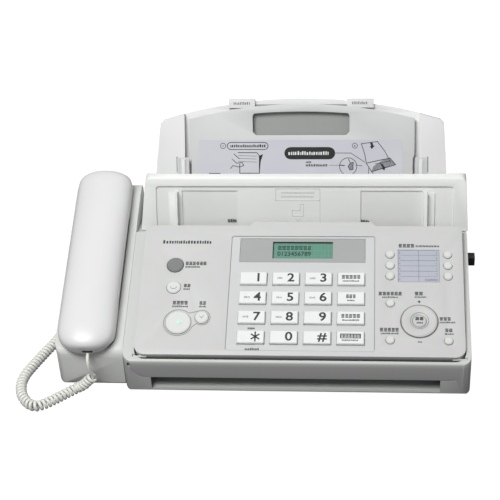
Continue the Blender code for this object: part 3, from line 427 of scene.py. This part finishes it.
class Print:
    """Flat ink shapes on a tilted plane, gathered into one mesh."""

    def __init__(self, plane, height, thickness=0.00006):
        self.bm = bmesh.new()
        self.plane = plane
        self.low = height
        self.high = height + thickness

    def polygon(self, points):
        """A thin plate with this outline."""
        lower = [self.bm.verts.new((x, w, self.low)) for x, w in points]
        upper = [self.bm.verts.new((x, w, self.high)) for x, w in points]
        self.bm.faces.new(upper)
        self.bm.faces.new(lower[::-1])
        for i in range(len(points)):
            j = (i + 1) % len(points)
            self.bm.faces.new((lower[i], lower[j], upper[j], upper[i]))

    def bar(self, x, w, width, height):
        """A rectangle from its lower left corner."""
        self.polygon([(x, w), (x + width, w), (x + width, w + height), (x, w + height)])

    def line(self, points, width=0.0003, closed=False):
        """A ribbon along a row of points."""
        followers = points[1:] + points[:1] if closed else points[1:]
        for first, second in zip(points, followers):
            a, b = Vector(first), Vector(second)
            along = (b - a).normalized() * width / 2
            side = Vector((-along.y, along.x))
            a, b = a - along, b + along
            self.polygon([tuple(a - side), tuple(b - side), tuple(b + side), tuple(a + side)])

    def words(self, x, w, width, height, seed, weight=0.28):
        """Stand-in for a printed word: blocks of three stacked dashes that spell nothing."""
        chooser = random.Random(seed)
        cells = max(1, round(width / height))
        for cell in range(cells):
            place = x + cell * width / cells
            for level in (0.0, 0.38, 0.76):
                trim = chooser.uniform(0.0, 0.15) * height
                self.bar(place + trim, w + height * level, width / cells * 0.86 - trim,
                         height * weight)

    def small_words(self, x, w, width, height, seed):
        """A finer line of stand-in print."""
        chooser = random.Random(seed)
        place = x
        while place < x + width - height * 0.3:
            step = height * chooser.uniform(0.45, 0.8)
            self.bar(place, w, step * 0.62, height * chooser.uniform(0.7, 1.0))
            place += step

    def finish(self, name, material, body):
        mesh = bpy.data.meshes.new(name)
        self.bm.to_mesh(mesh)
        self.bm.free()
        return put(name, mesh, self.plane, material, body)


def circle(x, w, radius, count=20, start=0.0, turn=360.0):
    steps = count if turn == 360.0 else count + 1
    angles = [math.radians(start + turn * i / count) for i in range(steps)]
    return [(x + radius * math.cos(angle), w + radius * math.sin(angle)) for angle in angles]


def pill(x_low, x_high, w_low, w_high, count=8):
    radius = (w_high - w_low) / 2
    middle = (w_low + w_high) / 2
    return (circle(x_high - radius, middle, radius, count, -90, 180)
            + circle(x_low + radius, middle, radius, count, 90, 180))


def put(name, mesh, plane, material, body):
    mesh.transform(plane)
    mesh.materials.append(FINISHES[material])
    obj = bpy.data.objects.new(name, mesh)
    bpy.context.scene.collection.objects.link(obj)
    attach(obj, body)
    return obj


def mesh_of(curve):
    """The curve as a plain mesh, made through a holder object that is removed again."""
    holder = bpy.data.objects.new(curve.name, curve)
    bpy.context.scene.collection.objects.link(holder)
    bpy.context.view_layer.update()
    evaluated = holder.evaluated_get(bpy.context.evaluated_depsgraph_get())
    mesh = bpy.data.meshes.new_from_object(evaluated)
    bpy.data.objects.remove(holder)
    mesh.materials.clear()
    return mesh


def glyph(name, text, plane, x, w, height, size, material, body, align="CENTER", stretch=1.0):
    """A generic numeral or dial sign as a thin plate of ink."""
    curve = bpy.data.curves.new(name, "FONT")
    curve.body = text
    curve.size = size
    curve.align_x = align
    curve.align_y = "CENTER"
    curve.extrude = 0.00004
    curve.offset = size * 0.022
    mesh = mesh_of(curve)
    mesh.name = name
    mesh.transform(Matrix.Translation((x, w, height)) @ Matrix.Diagonal((stretch, 1.0, 1.0, 1.0)))
    return put(name, mesh, plane, material, body)


# Heights above the panel's surface
KEY_TOP = 0.00262
ROUND_KEY_TOP = 0.00158
RING_TOP = 0.00162
SET_KEY_TOP = 0.0017
PANEL_INK = 0.00004
LCD_TOP = -0.00178

KEYPAD_LEFT, KEYPAD_TOP_ROW = -0.02117, 0.06933
KEY_PITCH_X, KEY_PITCH_W = 0.02854, 0.01951
FUNCTION_KEY_WIDTH = 0.0233
NAVIGATOR_X, NAVIGATOR_W = 0.1348, 0.0344
DIAL = (("key_1", "1"), ("key_2", "2"), ("key_3", "3"),
        ("key_4", "4"), ("key_5", "5"), ("key_6", "6"),
        ("key_7", "7"), ("key_8", "8"), ("key_9", "9"),
        ("key_star", "*"), ("key_0", "0"), ("key_hash", "#"))


def key_corner(row, column):
    return KEYPAD_LEFT + column * KEY_PITCH_X, KEYPAD_TOP_ROW - row * KEY_PITCH_W


def star(name, x, w, body):
    """Six-armed dial star."""
    ink_plate = Print(PANEL, KEY_TOP)
    for angle in (90, 30, 150):
        dx = 0.0036 * math.cos(math.radians(angle))
        dw = 0.0042 * math.sin(math.radians(angle))
        ink_plate.line([(x - dx, w - dw), (x + dx, w + dw)], 0.0013)
    ink_plate.finish(name, "ink", body)


def print_keypad():
    for place, (node, text) in enumerate(DIAL):
        row, column = divmod(place, 3)
        x, w = key_corner(row, column)
        if text == "*":
            star("print_star", x + 0.0158, w + 0.0060, node)
        else:
            glyph(f"print_{node}", text, PANEL, x + 0.0160, w + 0.0061, KEY_TOP + 0.00003,
                  0.0116, "ink", node, stretch=1.12)
        if text in "2345678":
            small = Print(PANEL, KEY_TOP)
            small.small_words(x + 0.0042, w + 0.0050, 0.0052, 0.0020, place + 40)
            small.finish(f"letters_{node}", "soft_ink", node)
    for row, node in enumerate(("redial_key", "flash_key", "handset_mute_key", "monitor_key")):
        x, w = key_corner(row, 3)
        label = Print(PANEL, KEY_TOP)
        width = 0.0086 if node == "flash_key" else 0.0166
        left = x + (FUNCTION_KEY_WIDTH - width) / 2
        if node == "monitor_key":
            label.polygon([(x + 0.0028, w + 0.0052), (x + 0.0205, w + 0.0052),
                           (x + 0.0205, w + 0.0096), (x + 0.0028, w + 0.0096)])
            reverse = Print(PANEL, KEY_TOP + 0.00008)
            reverse.words(left, w + 0.0058, width, 0.0030, row + 7, 0.175)
            reverse.finish("print_reverse", "white_ink", node)
        else:
            label.words(left, w + 0.0057, width, 0.0034, row + 3)
        label.small_words(left + 0.001, w + 0.0026, width - 0.002, 0.0016, row + 11)
        label.finish(f"print_{node}", "ink", node)


def print_panel():
    """Printing, marks and painted shade along the keypad recess's edges on the control panel."""
    dark = Print(PANEL, PANEL_INK)
    # an upper line of print at x, w and a finer one below it
    for x, w, width, height, low_height, low_width in (
            (-0.0710, 0.0896, 0.0190, 0.0033, 0.0019, 0.0135),
            (-0.0710, 0.0668, 0.0063, 0.0031, 0.0019, 0.0063),
            (-0.0795, 0.0492, 0.0136, 0.0034, 0.0019, 0.0136),
            (-0.0560, 0.0492, 0.0062, 0.0032, 0.0018, 0.0062),
            (0.0998, 0.0600, 0.0205, 0.0033, 0.0018, 0.0140),
            (0.1310, 0.0602, 0.0075, 0.0033, 0.0016, 0.0105),
            (0.1011, 0.0243, 0.0164, 0.0034, 0.0018, 0.0150),
            (0.1563, 0.0243, 0.0068, 0.0032, 0.0018, 0.0075),
            (0.1520, 0.0355, 0.0098, 0.0030, 0.0018, 0.0135)):
        seed = int(x * 10000)
        dark.words(x, w, width, height, seed)
        centred = low_width < width and w < 0.062
        shift = (width - low_width) / 2 if centred else 0.0
        dark.small_words(x + shift, w - low_height - 0.0009, low_width, low_height, seed + 1)
    dark.words(0.1173, 0.1090, 0.0142, 0.0034, 5)
    dark.small_words(0.1325, 0.1094, 0.0205, 0.0021, 6)
    dark.polygon([(0.1348, 0.0552), (0.1361, 0.0538), (0.1348, 0.0524), (0.1335, 0.0538)])
    dark.bar(0.1331, 0.0140, 0.0036, 0.0009)
    dark.small_words(-0.0140, 0.0051, 0.0118, 0.0020, 15)
    dark.small_words(-0.0928, 0.1120, 0.0438, 0.0036, 23)
    x, w = key_corner(3, 0)
    dark.small_words(x + 0.0088, w + 0.0146, 0.0062, 0.0018, 18)
    dark.finish("print_panel", "ink", "front_cover")

    # Painted shade: dark lines along the left, top and right edges of the keypad's shallow recess
    trim = Print(PANEL, 0.00002, 0.00005)
    trim.line([(-0.0309, 0.0060), (-0.0309, 0.1185), (-0.0295, 0.1203), (0.0960, 0.1203)], 0.00035)
    trim.line([(0.0967, 0.1195), (0.0967, 0.0060)], 0.00022)
    trim.finish("keypad_edge_painted_shade", "fine_line", "front_cover")


def key_signs():
    """Raised rim tying start and copy keys, signs on keys, painted shade in the navigator's
    grooves.
    """
    rim = Print(PANEL, -0.0002, 0.00055)
    start, copy = Vector((-0.0732, 0.0311)), Vector((-0.0529, 0.0363))
    outline = circle(start.x, start.y, 0.0128, 30, 48, 294)
    outline += circle(copy.x, copy.y, 0.0073, 16, -125, 250)
    rim.line(outline, 0.0004, closed=True)
    rim.finish("key_outline", "fine_line", "front_cover")
    sign = Print(PANEL, ROUND_KEY_TOP)
    x, w = start
    sign.polygon([(x, w + 0.0026), (x + 0.0021, w), (x, w - 0.0026), (x - 0.0021, w)])
    sign.polygon([(x + 0.0012, w + 0.0026), (x + 0.0021, w + 0.0026), (x + 0.0040, w),
                  (x + 0.0021, w - 0.0026), (x + 0.0012, w - 0.0026), (x + 0.0031, w)])
    sign.finish("start_sign", "green_ink", "start_key")
    sign = Print(PANEL, ROUND_KEY_TOP)
    x, w = copy
    sign.line([(x - 0.0018, w + 0.0008), (x, w - 0.0012), (x + 0.0018, w + 0.0016)], 0.0004)
    sign.finish("copy_sign", "soft_ink", "copy_key")
    sign = Print(PANEL, ROUND_KEY_TOP)
    sign.line(circle(-0.0797, 0.0672, 0.0030, 10, 200, 140), 0.0004)
    sign.finish("stop_sign", "soft_ink", "stop_key")
    sign = Print(PANEL, SET_KEY_TOP)
    sign.words(0.1312, 0.0347, 0.0074, 0.0030, 21)
    sign.small_words(0.1324, 0.0315, 0.0050, 0.0018, 22)
    sign.finish("set_print", "ink", "set_key")
    # Painted shade: dark rings stand in for the shade in the navigator's grooves
    groove = Print(PANEL, RING_TOP)
    groove.line(circle(NAVIGATOR_X, NAVIGATOR_W, 0.0078, 40), 0.00035, closed=True)
    groove.finish("navigator_inner_painted_shade", "fine_line", "navigator_ring")
    groove = Print(PANEL, PANEL_INK)
    groove.line(circle(NAVIGATOR_X, NAVIGATOR_W, 0.0161, 48), 0.0008, closed=True)
    groove.finish("navigator_outer_painted_shade", "fine_line", "front_cover")


def display():
    """Painted shadow along the display window's top and left edges; two lines of generic
    characters.
    """
    glyph("lcd_numbers", "0123456789", PANEL, 0.0101, 0.1027, LCD_TOP + 0.00004, 0.0062,
          "lcd_ink", "front_cover", align="LEFT", stretch=0.97)
    upper = Print(PANEL, LCD_TOP)
    upper.words(0.0105, 0.1070, 0.0300, 0.0040, 31, 0.2625)
    upper.finish("lcd_upper_line", "lcd_ink", "front_cover")
    # Painted shadow: dark bars along the window's top and left edges, where its rim shades the
    # display
    edge = Print(PANEL, -0.0017, 0.0012)
    edge.bar(0.0060, 0.1139, 0.0535, 0.0009)
    edge.bar(0.0060, 0.0972, 0.0006, 0.0168)
    edge.finish("lcd_window_painted_shadow", "dark", "front_cover")


def directory():
    """Ruled lines and entry numbers on the one-touch card."""
    rules = Print(PANEL, 0.0)
    x_low, x_high, w_low, w_high = 0.1170, 0.1528, 0.0738, 0.1063
    for share in (1 / 6, 1 / 3, 1 / 2, 2 / 3, 5 / 6):
        width = 0.0004 if share in (1 / 3, 2 / 3) else 0.00022
        rules.bar(x_low + 0.0012, w_low + share * (w_high - w_low) - width / 2,
                  x_high - x_low - 0.0024, width)
    rules.bar((x_low + x_high) / 2 - 0.0002, w_low + 0.0004, 0.0004, w_high - w_low - 0.0008)
    rules.line([(x_low, w_low), (x_low, w_high), (x_high, w_high)], 0.0006)
    rules.finish("card_rules", "line_ink", "front_cover")
    marks = Print(PANEL, 0.00008)
    for level in range(6):
        w = w_low + (level + 0.3) * (w_high - w_low) / 6
        marks.small_words(x_low + 0.0010, w, 0.0012, 0.0018, level + 60)
        if level != 0:
            marks.small_words(x_high - 0.0026, w, 0.0012, 0.0018, level + 70)
    marks.small_words(x_high - 0.0125, w_low + 0.0012, 0.0115, 0.0018, 77)
    marks.finish("card_marks", "soft_ink", "front_cover")


def tension_label():
    """Instruction label: ringed numbers, two framed captions and small line drawings."""
    sheet = Print(TRAY, 0.00004, 0.0001)
    sheet.polygon(rounded_box(-0.0630, 0.1210, 0.0145, 0.0475, 0.002))
    sheet.finish("tray_label", "label", "tension_plate")
    level = 0.00016
    dark = Print(TRAY, level)
    dark.line(circle(-0.0412, 0.0420, 0.0024, 16), 0.0005, closed=True)
    dark.small_words(-0.0415, 0.0411, 0.0007, 0.0018, 1)
    dark.line(pill(-0.0373, -0.0003, 0.0387, 0.0451), 0.0006, closed=True)
    dark.small_words(-0.0345, 0.0407, 0.0320, 0.0026, 90)
    dark.polygon(pill(0.0145, 0.0605, 0.0297, 0.0408))
    dark.line([(0.0600, 0.0354), (0.0745, 0.0354), (0.0870, 0.0272)], 0.0005)
    dark.small_words(0.0340, 0.0262, 0.0055, 0.0020, 91)
    dark.small_words(0.0340, 0.0232, 0.0200, 0.0022, 92)
    dark.line([(0.0550, 0.0243), (0.0650, 0.0243)], 0.0003)
    dark.line(circle(0.0782, 0.0420, 0.0023, 16), 0.00045, closed=True)
    dark.small_words(0.0777, 0.0411, 0.0012, 0.0018, 93)
    # stack of paper held in a hand, seen from the front
    stack = [(-0.0275, 0.0358), (-0.0105, 0.0358), (-0.0083, 0.0330), (-0.0083, 0.0170),
             (-0.0262, 0.0170), (-0.0262, 0.0252)]
    dark.line(stack, 0.00064)
    for drop in (0.0026, 0.0052, 0.0080):
        dark.line([(-0.0272, 0.0358 - drop), (-0.0108, 0.0352 - drop)], 0.00032)
    dark.line([(-0.0330, 0.0300), (-0.0290, 0.0262), (-0.0240, 0.0268), (-0.0225, 0.0242),
               (-0.0262, 0.0226), (-0.0325, 0.0240), (-0.0345, 0.0215)], 0.00061)
    dark.line([(-0.0312, 0.0345), (-0.0268, 0.0305)], 0.0007)
    dark.polygon([(-0.0083, 0.0330), (-0.0048, 0.0345), (-0.0070, 0.0280), (-0.0080, 0.0185)])
    # sheet going into the tray, with its arrow and the machine's outline
    dark.line([(0.0841, 0.0438), (0.0984, 0.0457), (0.1051, 0.0372), (0.1103, 0.0269)], 0.00058)
    dark.line([(0.0841, 0.0438), (0.0872, 0.0340), (0.0885, 0.0262)], 0.00058)
    dark.line([(0.0885, 0.0262), (0.1097, 0.0308), (0.1149, 0.0248), (0.0934, 0.0185),
               (0.0885, 0.0262)], 0.00064)
    dark.line([(0.0906, 0.0219), (0.0906, 0.0145)], 0.00048)
    dark.line([(0.0934, 0.0185), (0.0967, 0.0145)], 0.00048)
    dark.line([(0.0967, 0.0254), (0.1090, 0.0280)], 0.00048)
    dark.polygon([(0.0919, 0.0444), (0.0940, 0.0448), (0.0950, 0.0418), (0.0963, 0.0421),
                  (0.0934, 0.0391), (0.0916, 0.0413), (0.0928, 0.0415)])
    dark.polygon([(0.1006, 0.0262), (0.1032, 0.0255), (0.1049, 0.0227), (0.1059, 0.0232),
                  (0.1049, 0.0196), (0.1020, 0.0216), (0.1032, 0.0223)])
    # close-up circle with the stack's edge
    dark.line(circle(0.0722, 0.0232, 0.0078, 28, -60, 300), 0.00051)
    dark.line([(0.0790, 0.0245), (0.0845, 0.0238)], 0.00048)
    dark.line([(0.0650, 0.0243), (0.0688, 0.0241)], 0.00080)
    dark.line([(0.0725, 0.0300), (0.0742, 0.0262), (0.0722, 0.0232), (0.0738, 0.0200),
               (0.0765, 0.0205), (0.0768, 0.0270), (0.0742, 0.0262)], 0.00058)
    dark.bar(-0.0545, 0.0161, 0.0105, 0.0011)
    dark.finish("label_print", "black", "tension_plate")
    light = Print(TRAY, level + 0.00008)
    light.small_words(0.0182, 0.0337, 0.0372, 0.0034, 94)
    light.finish("label_reverse_print", "white_ink", "tension_plate")
    shading = Print(TRAY, level - 0.00002)
    shading.polygon([(0.0742, 0.0262), (0.0766, 0.0268), (0.0764, 0.0208), (0.0738, 0.0202),
                     (0.0725, 0.0232)])
    shading.polygon([(0.0934, 0.0187), (0.1146, 0.0248), (0.1096, 0.0306), (0.1038, 0.0294),
                     (0.0947, 0.0231)])
    shading.finish("label_shading", "soft_ink", "tension_plate")


def rounded_box(x_low, x_high, w_low, w_high, radius, count=5):
    corners = []
    for x, w, start in (
            (x_high - radius, w_high - radius, 0), (x_low + radius, w_high - radius, 90),
            (x_low + radius, w_low + radius, 180), (x_high - radius, w_low + radius, 270)):
        corners += circle(x, w, radius, count, start, 90)
    return corners


def tray_trim():
    """Ribbed strips beside the tension plate; their slots and the back of its handle as painted
    shade.
    """
    strips = Print(TRAY, -0.0002, 0.0006)
    ribs = Print(TRAY, 0.0004, 0.0005)
    slots = Print(TRAY, 0.00002, 0.00006)
    for low, high, edge in ((-0.0835, -0.0724, -0.0835), (0.1324, 0.1435, 0.1435)):
        strips.bar(low, 0.0, high - low, 0.0315)
        for i in range(5):
            ribs.bar(low + 0.0016 + i * 0.0021, 0.0, 0.0007, 0.0300)
        # Painted shade: dark bars stand in for the shade inside the slots
        slots.bar(edge - 0.0005, 0.0180, 0.0010, 0.0140)
    strips.finish("tray_strips", "plate", "paper_tray")
    ribs.finish("tray_strip_ribs", "plate", "paper_tray")
    slots.finish("tray_slots_painted_shade", "dark", "paper_tray")
    # Painted shadow: a grey plate behind the handle hole stands in for the shade inside it
    back = Print(TRAY, -0.00618, 0.0002)
    back.bar(-0.0200, 0.0460, 0.1000, 0.0330)
    back.finish("handle_painted_shadow", "shade", "paper_tray")


def face_marks():
    """Raised frame and arrow sign on the document face, darkened as painted shade; size and lug
    marks.
    """
    # Painted shade: the raised marks are coloured darker than the face to stand in for the shade
    # along their edges
    plate = Print(FACE, -0.00162, 0.00030)
    plate.line(rounded_box(0.0070, 0.0470, 0.0240, 0.0350, 0.0006), 0.0005, closed=True)
    plate.small_words(0.0120, 0.0305, 0.0300, 0.0018, 41)
    plate.small_words(0.0120, 0.0270, 0.0300, 0.0018, 42)
    plate.line([(0.0220, 0.0095), (0.0320, 0.0095), (0.0320, 0.0205), (0.0292, 0.0205),
                (0.0292, 0.0150), (0.0220, 0.0150), (0.0220, 0.0095)], 0.0005)
    plate.line([(0.0250, 0.0070), (0.0270, 0.0045), (0.0290, 0.0070)], 0.0005)
    plate.line([(0.0180, 0.0030), (0.0470, 0.0030), (0.0470, 0.0240)], 0.0004)
    plate.finish("face_emboss", "emboss", "rear_cover")
    sizes = Print(FACE, -0.00158)
    sizes.small_words(-0.0370, 0.0038, 0.0078, 0.0030, 43)
    sizes.small_words(0.0842, 0.0038, 0.0078, 0.0030, 44)
    sizes.finish("size_marks", "ink", "rear_cover")
    lugs = Print(TRAY, -0.00298)
    lugs.small_words(-0.0315, 0.0790, 0.0150, 0.0028, 45)
    lugs.small_words(0.0755, 0.0790, 0.0150, 0.0028, 46)
    lugs.finish("lug_marks", "soft_ink", "paper_tray")


# Handset and cord ----------------------------------------------------------------

HANDSET_X, HALF_WIDTH = -0.152, 0.0249
HANDSET_START, HANDSET_END = -0.0035, 0.1858
PARTING = 0.008
NEAR_ROUND, FAR_ROUND = 0.024, 0.018
NEAR_POWER, FAR_POWER = 2.5, 3.2
UNDERSIDE_DEPTH, POD_DEPTH = 0.0065, 0.0090
RIM = 0.0010


def end_factor(v):
    """How far the outline has opened at v: 0 at either tip, 1 between the rounded ends."""
    near = (v - HANDSET_START) / NEAR_ROUND
    far = (HANDSET_END - v) / FAR_ROUND
    factor = 1.0
    if near < 1.0:
        factor *= (1.0 - (1.0 - near) ** NEAR_POWER) ** (1.0 / NEAR_POWER)
    if far < 1.0:
        factor *= (1.0 - (1.0 - far) ** FAR_POWER) ** (1.0 / FAR_POWER)
    return factor


def ease(t):
    t = min(max(t, 0.0), 1.0)
    return t * t * (3.0 - 2.0 * t)


def pod(v):
    """1 over the mouthpiece and the earpiece, 0 along the grip."""
    mouth = ease((v - 0.0055) / 0.009) * ease((0.052 - v) / 0.014)
    ear = ease((v - 0.134) / 0.014) * ease((0.1795 - v) / 0.008)
    return max(mouth, ear)


def handset_loft(name, upper, around=44):
    """One half of the handset as a smooth closed loft."""
    length = HANDSET_END - HANDSET_START
    stations = []
    for i in range(25):
        stations.append(0.00025 + 0.0235 * (i / 24) ** 1.8)
        stations.append(length - 0.00025 - 0.0180 * (i / 24) ** 1.8)
    stations += [0.026 + 0.0028 * i for i in range(int((length - 0.048) / 0.0028) + 1)]
    bm = bmesh.new()
    rows = []
    for station in sorted(stations):
        v = HANDSET_START + station
        ends = end_factor(v)
        half_width = HALF_WIDTH * ends
        belly = math.sin(math.pi * station / length)
        if upper:
            height, power = (0.0109 + 0.0050 * belly) * ends ** 0.5, 2.3
        else:
            height, power = -(UNDERSIDE_DEPTH + POD_DEPTH * pod(v)) * ends ** 0.35, 3.0
        side = 1.0 if upper else -1.0
        rim = min(RIM, half_width * 0.5)
        row = [(-half_width, side * 0.0002)]
        for j in range(around + 1):
            angle = math.pi * j / around
            c, s = math.cos(angle), math.sin(angle)
            across = -half_width * math.copysign(abs(c) ** (2.0 / power), c)
            row.append((across, side * 0.0008 + height * max(s, 0.0) ** (2.0 / power)))
        row.append((half_width, side * 0.0002))
        row.append((half_width - rim, side * 0.0002))
        row.insert(0, (-half_width + rim, side * 0.0002))
        rows.append([bm.verts.new((HANDSET_X + across, v, PARTING + rise)) for across, rise in row])
    for first, second in zip(rows, rows[1:]):
        for j in range(len(first)):
            k = (j + 1) % len(first)
            bm.faces.new((first[j], first[k], second[k], second[j]))
    bm.faces.new(rows[0])
    bm.faces.new(rows[-1][::-1])
    bmesh.ops.recalc_face_normals(bm, faces=bm.faces)
    for face in bm.faces:
        face.smooth = True
    mesh = bpy.data.meshes.new(name)
    bm.to_mesh(mesh)
    bm.free()
    mesh.set_sharp_from_angle(angle=math.radians(50))
    return put(name, mesh, CRADLE, "handset", "handset")


def handset():
    """Both shells, and dark fills painted as shade in the front half's sound holes and the plug's
    recess.
    """
    top = handset_loft("handset_back", True)
    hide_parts("handset_shell")
    under = handset_loft("handset_front", False)
    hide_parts("handset_underside")
    # Painted shade: dark discs stand in for the shade inside the sound holes
    holes = bmesh.new()
    rise = PARTING - (UNDERSIDE_DEPTH + POD_DEPTH) - 0.0008
    earpiece = (0.1600, ((0.0, 1), (0.0035, 6), (0.0070, 12)))
    mouthpiece = (0.0260, ((0.0, 1), (0.0030, 6)))
    for v, rings in (earpiece, mouthpiece):
        for radius, count in rings:
            for i in range(count):
                angle = 2 * math.pi * i / count
                spot = Matrix.Translation((HANDSET_X + radius * math.cos(angle),
                                           v + radius * math.sin(angle), rise))
                bmesh.ops.create_cone(holes, cap_ends=True, segments=12, radius1=0.0007,
                                      radius2=0.0007, depth=0.0003, matrix=spot)
    mesh = bpy.data.meshes.new("handset_holes_painted_shade")
    holes.to_mesh(mesh)
    holes.free()
    put("handset_holes_painted_shade", mesh, CRADLE, "dark", "handset")
    # Painted shade: a dark box stands in for the shade in the recess round the plug
    socket = bmesh.new()
    bmesh.ops.create_cube(socket, size=1.0, matrix=Matrix.Translation((-0.1490, -0.0029, 0.0078))
                          @ Matrix.Diagonal((0.0094, 0.0024, 0.0022, 1.0)))
    bmesh.ops.bevel(socket, geom=socket.edges[:], offset=0.0006, segments=2, affect="EDGES")
    mesh = bpy.data.meshes.new("plug_recess_painted_shade")
    socket.to_mesh(mesh)
    socket.free()
    put("plug_recess_painted_shade", mesh, CRADLE, "dark", "handset")


# The cord's route from the handset's plug, along the floor and up to the jack's plug
CORD_ROUTE = (
    (-0.1490, 0.0042, 0.0418), (-0.1489, 0.0004, 0.0403), (-0.1487, -0.0030, 0.0372),
    (-0.1482, -0.0043, 0.0330), (-0.1473, -0.0042, 0.0280), (-0.1458, -0.0034, 0.0236),
    (-0.1446, -0.0026, 0.0210), (-0.1495, -0.0025, 0.0165), (-0.1550, -0.0025, 0.0105),
    (-0.1610, -0.0025, 0.0066), (-0.1680, -0.0065, 0.0053), (-0.1775, -0.0146, 0.0053),
    (-0.1885, -0.0228, 0.0053), (-0.1955, -0.0246, 0.0053), (-0.2025, -0.0205, 0.0053),
    (-0.2090, -0.0110, 0.0053), (-0.2120, 0.0010, 0.0053), (-0.2110, 0.0130, 0.0053),
    (-0.2058, 0.0270, 0.0053), (-0.1981, 0.0444, 0.0053), (-0.1905, 0.0610, 0.0053),
    (-0.1872, 0.0740, 0.0053), (-0.1874, 0.0850, 0.0058), (-0.1900, 0.0930, 0.0072),
    (-0.1922, 0.1000, 0.0092), (-0.1904, 0.1060, 0.0112), (-0.1862, 0.1083, 0.0120),
    (-0.1843, 0.1083, 0.0120), (-0.1827, 0.1083, 0.0120),
)
COIL_FIRST, COIL_LAST = 6, 22
WIRE_RADIUS = 0.00150
COIL_RADIUS = 0.00340
COIL_PITCH = 0.00365
TURN_STEPS = 16
ROUTE_STEPS = 60
COIL_STEPS = 24
LEAD_STEP = 0.0011


def route_point(points, t):
    """A point of the smooth curve through all points, t counting from the first one."""
    i = min(int(t), len(points) - 2)
    local = t - i
    p1, p2 = points[i], points[i + 1]
    p0 = points[i - 1] if i > 0 else p1 * 2 - p2
    p3 = points[i + 2] if i + 2 < len(points) else p2 * 2 - p1
    return 0.5 * (2 * p1 + (p2 - p0) * local + (2 * p0 - 5 * p1 + 4 * p2 - p3) * local ** 2
                  + (3 * p1 - p0 - 3 * p2 + p3) * local ** 3)


def cord_centreline():
    """The wire's own line: straight leads and a tight helix round the route between them."""
    route = [Vector(point) + LAYOUT_SHIFT for point in CORD_ROUTE]
    marks = [i / ROUTE_STEPS for i in range(ROUTE_STEPS * (len(route) - 1) + 1)]
    fine = [(t, route_point(route, t)) for t in marks]
    coil_length = sum((ahead - here).length for (t, here), (_, ahead) in zip(fine, fine[1:])
                      if COIL_FIRST <= t < COIL_LAST)
    points = []
    travelled, coiled = 0.0, 0.0
    last_phase, last_lead = 0.0, -1.0
    side = Vector((0.0, 0.0, 1.0))
    for (t, here), (_, ahead) in zip(fine, fine[1:]):
        step = (ahead - here).length
        along = (ahead - here).normalized()
        side = (side - along * side.dot(along)).normalized()
        up = along.cross(side)
        if COIL_FIRST <= t < COIL_LAST:
            for k in range(COIL_STEPS):
                at = coiled + step * k / COIL_STEPS
                phase = 2 * math.pi * at / COIL_PITCH
                if phase - last_phase < 2 * math.pi / TURN_STEPS and points:
                    continue
                last_phase = phase
                swell = ease(min(at, coil_length - at) / (0.8 * COIL_PITCH))
                outward = side * math.cos(phase) + up * math.sin(phase)
                points.append(here.lerp(ahead, k / COIL_STEPS) + outward * COIL_RADIUS * swell)
            coiled += step
        elif travelled - last_lead >= LEAD_STEP or t == 0.0:
            points.append(here.copy())
            last_lead = travelled
        travelled += step
    points.append(fine[-1][1])
    return points


def curly_cord():
    points = cord_centreline()
    curve = bpy.data.curves.new("curly_cord", "CURVE")
    curve.dimensions = "3D"
    curve.bevel_depth = WIRE_RADIUS
    curve.bevel_resolution = 2
    curve.use_fill_caps = True
    spline = curve.splines.new("POLY")
    spline.points.add(len(points) - 1)
    for point, spot in zip(spline.points, points):
        point.co = (*spot, 1.0)
    mesh = mesh_of(curve)
    for polygon in mesh.polygons:
        polygon.use_smooth = True
    mesh.materials.append(FINISHES["cord"])
    cord = bpy.data.objects.new("curly_cord", mesh)
    bpy.context.scene.collection.objects.link(cord)
    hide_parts("handset_cord")
    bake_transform(cord)


studio()
finish_nodes()
print_keypad()
print_panel()
key_signs()
display()
directory()
tension_label()
tray_trim()
face_marks()
handset()
curly_cord()
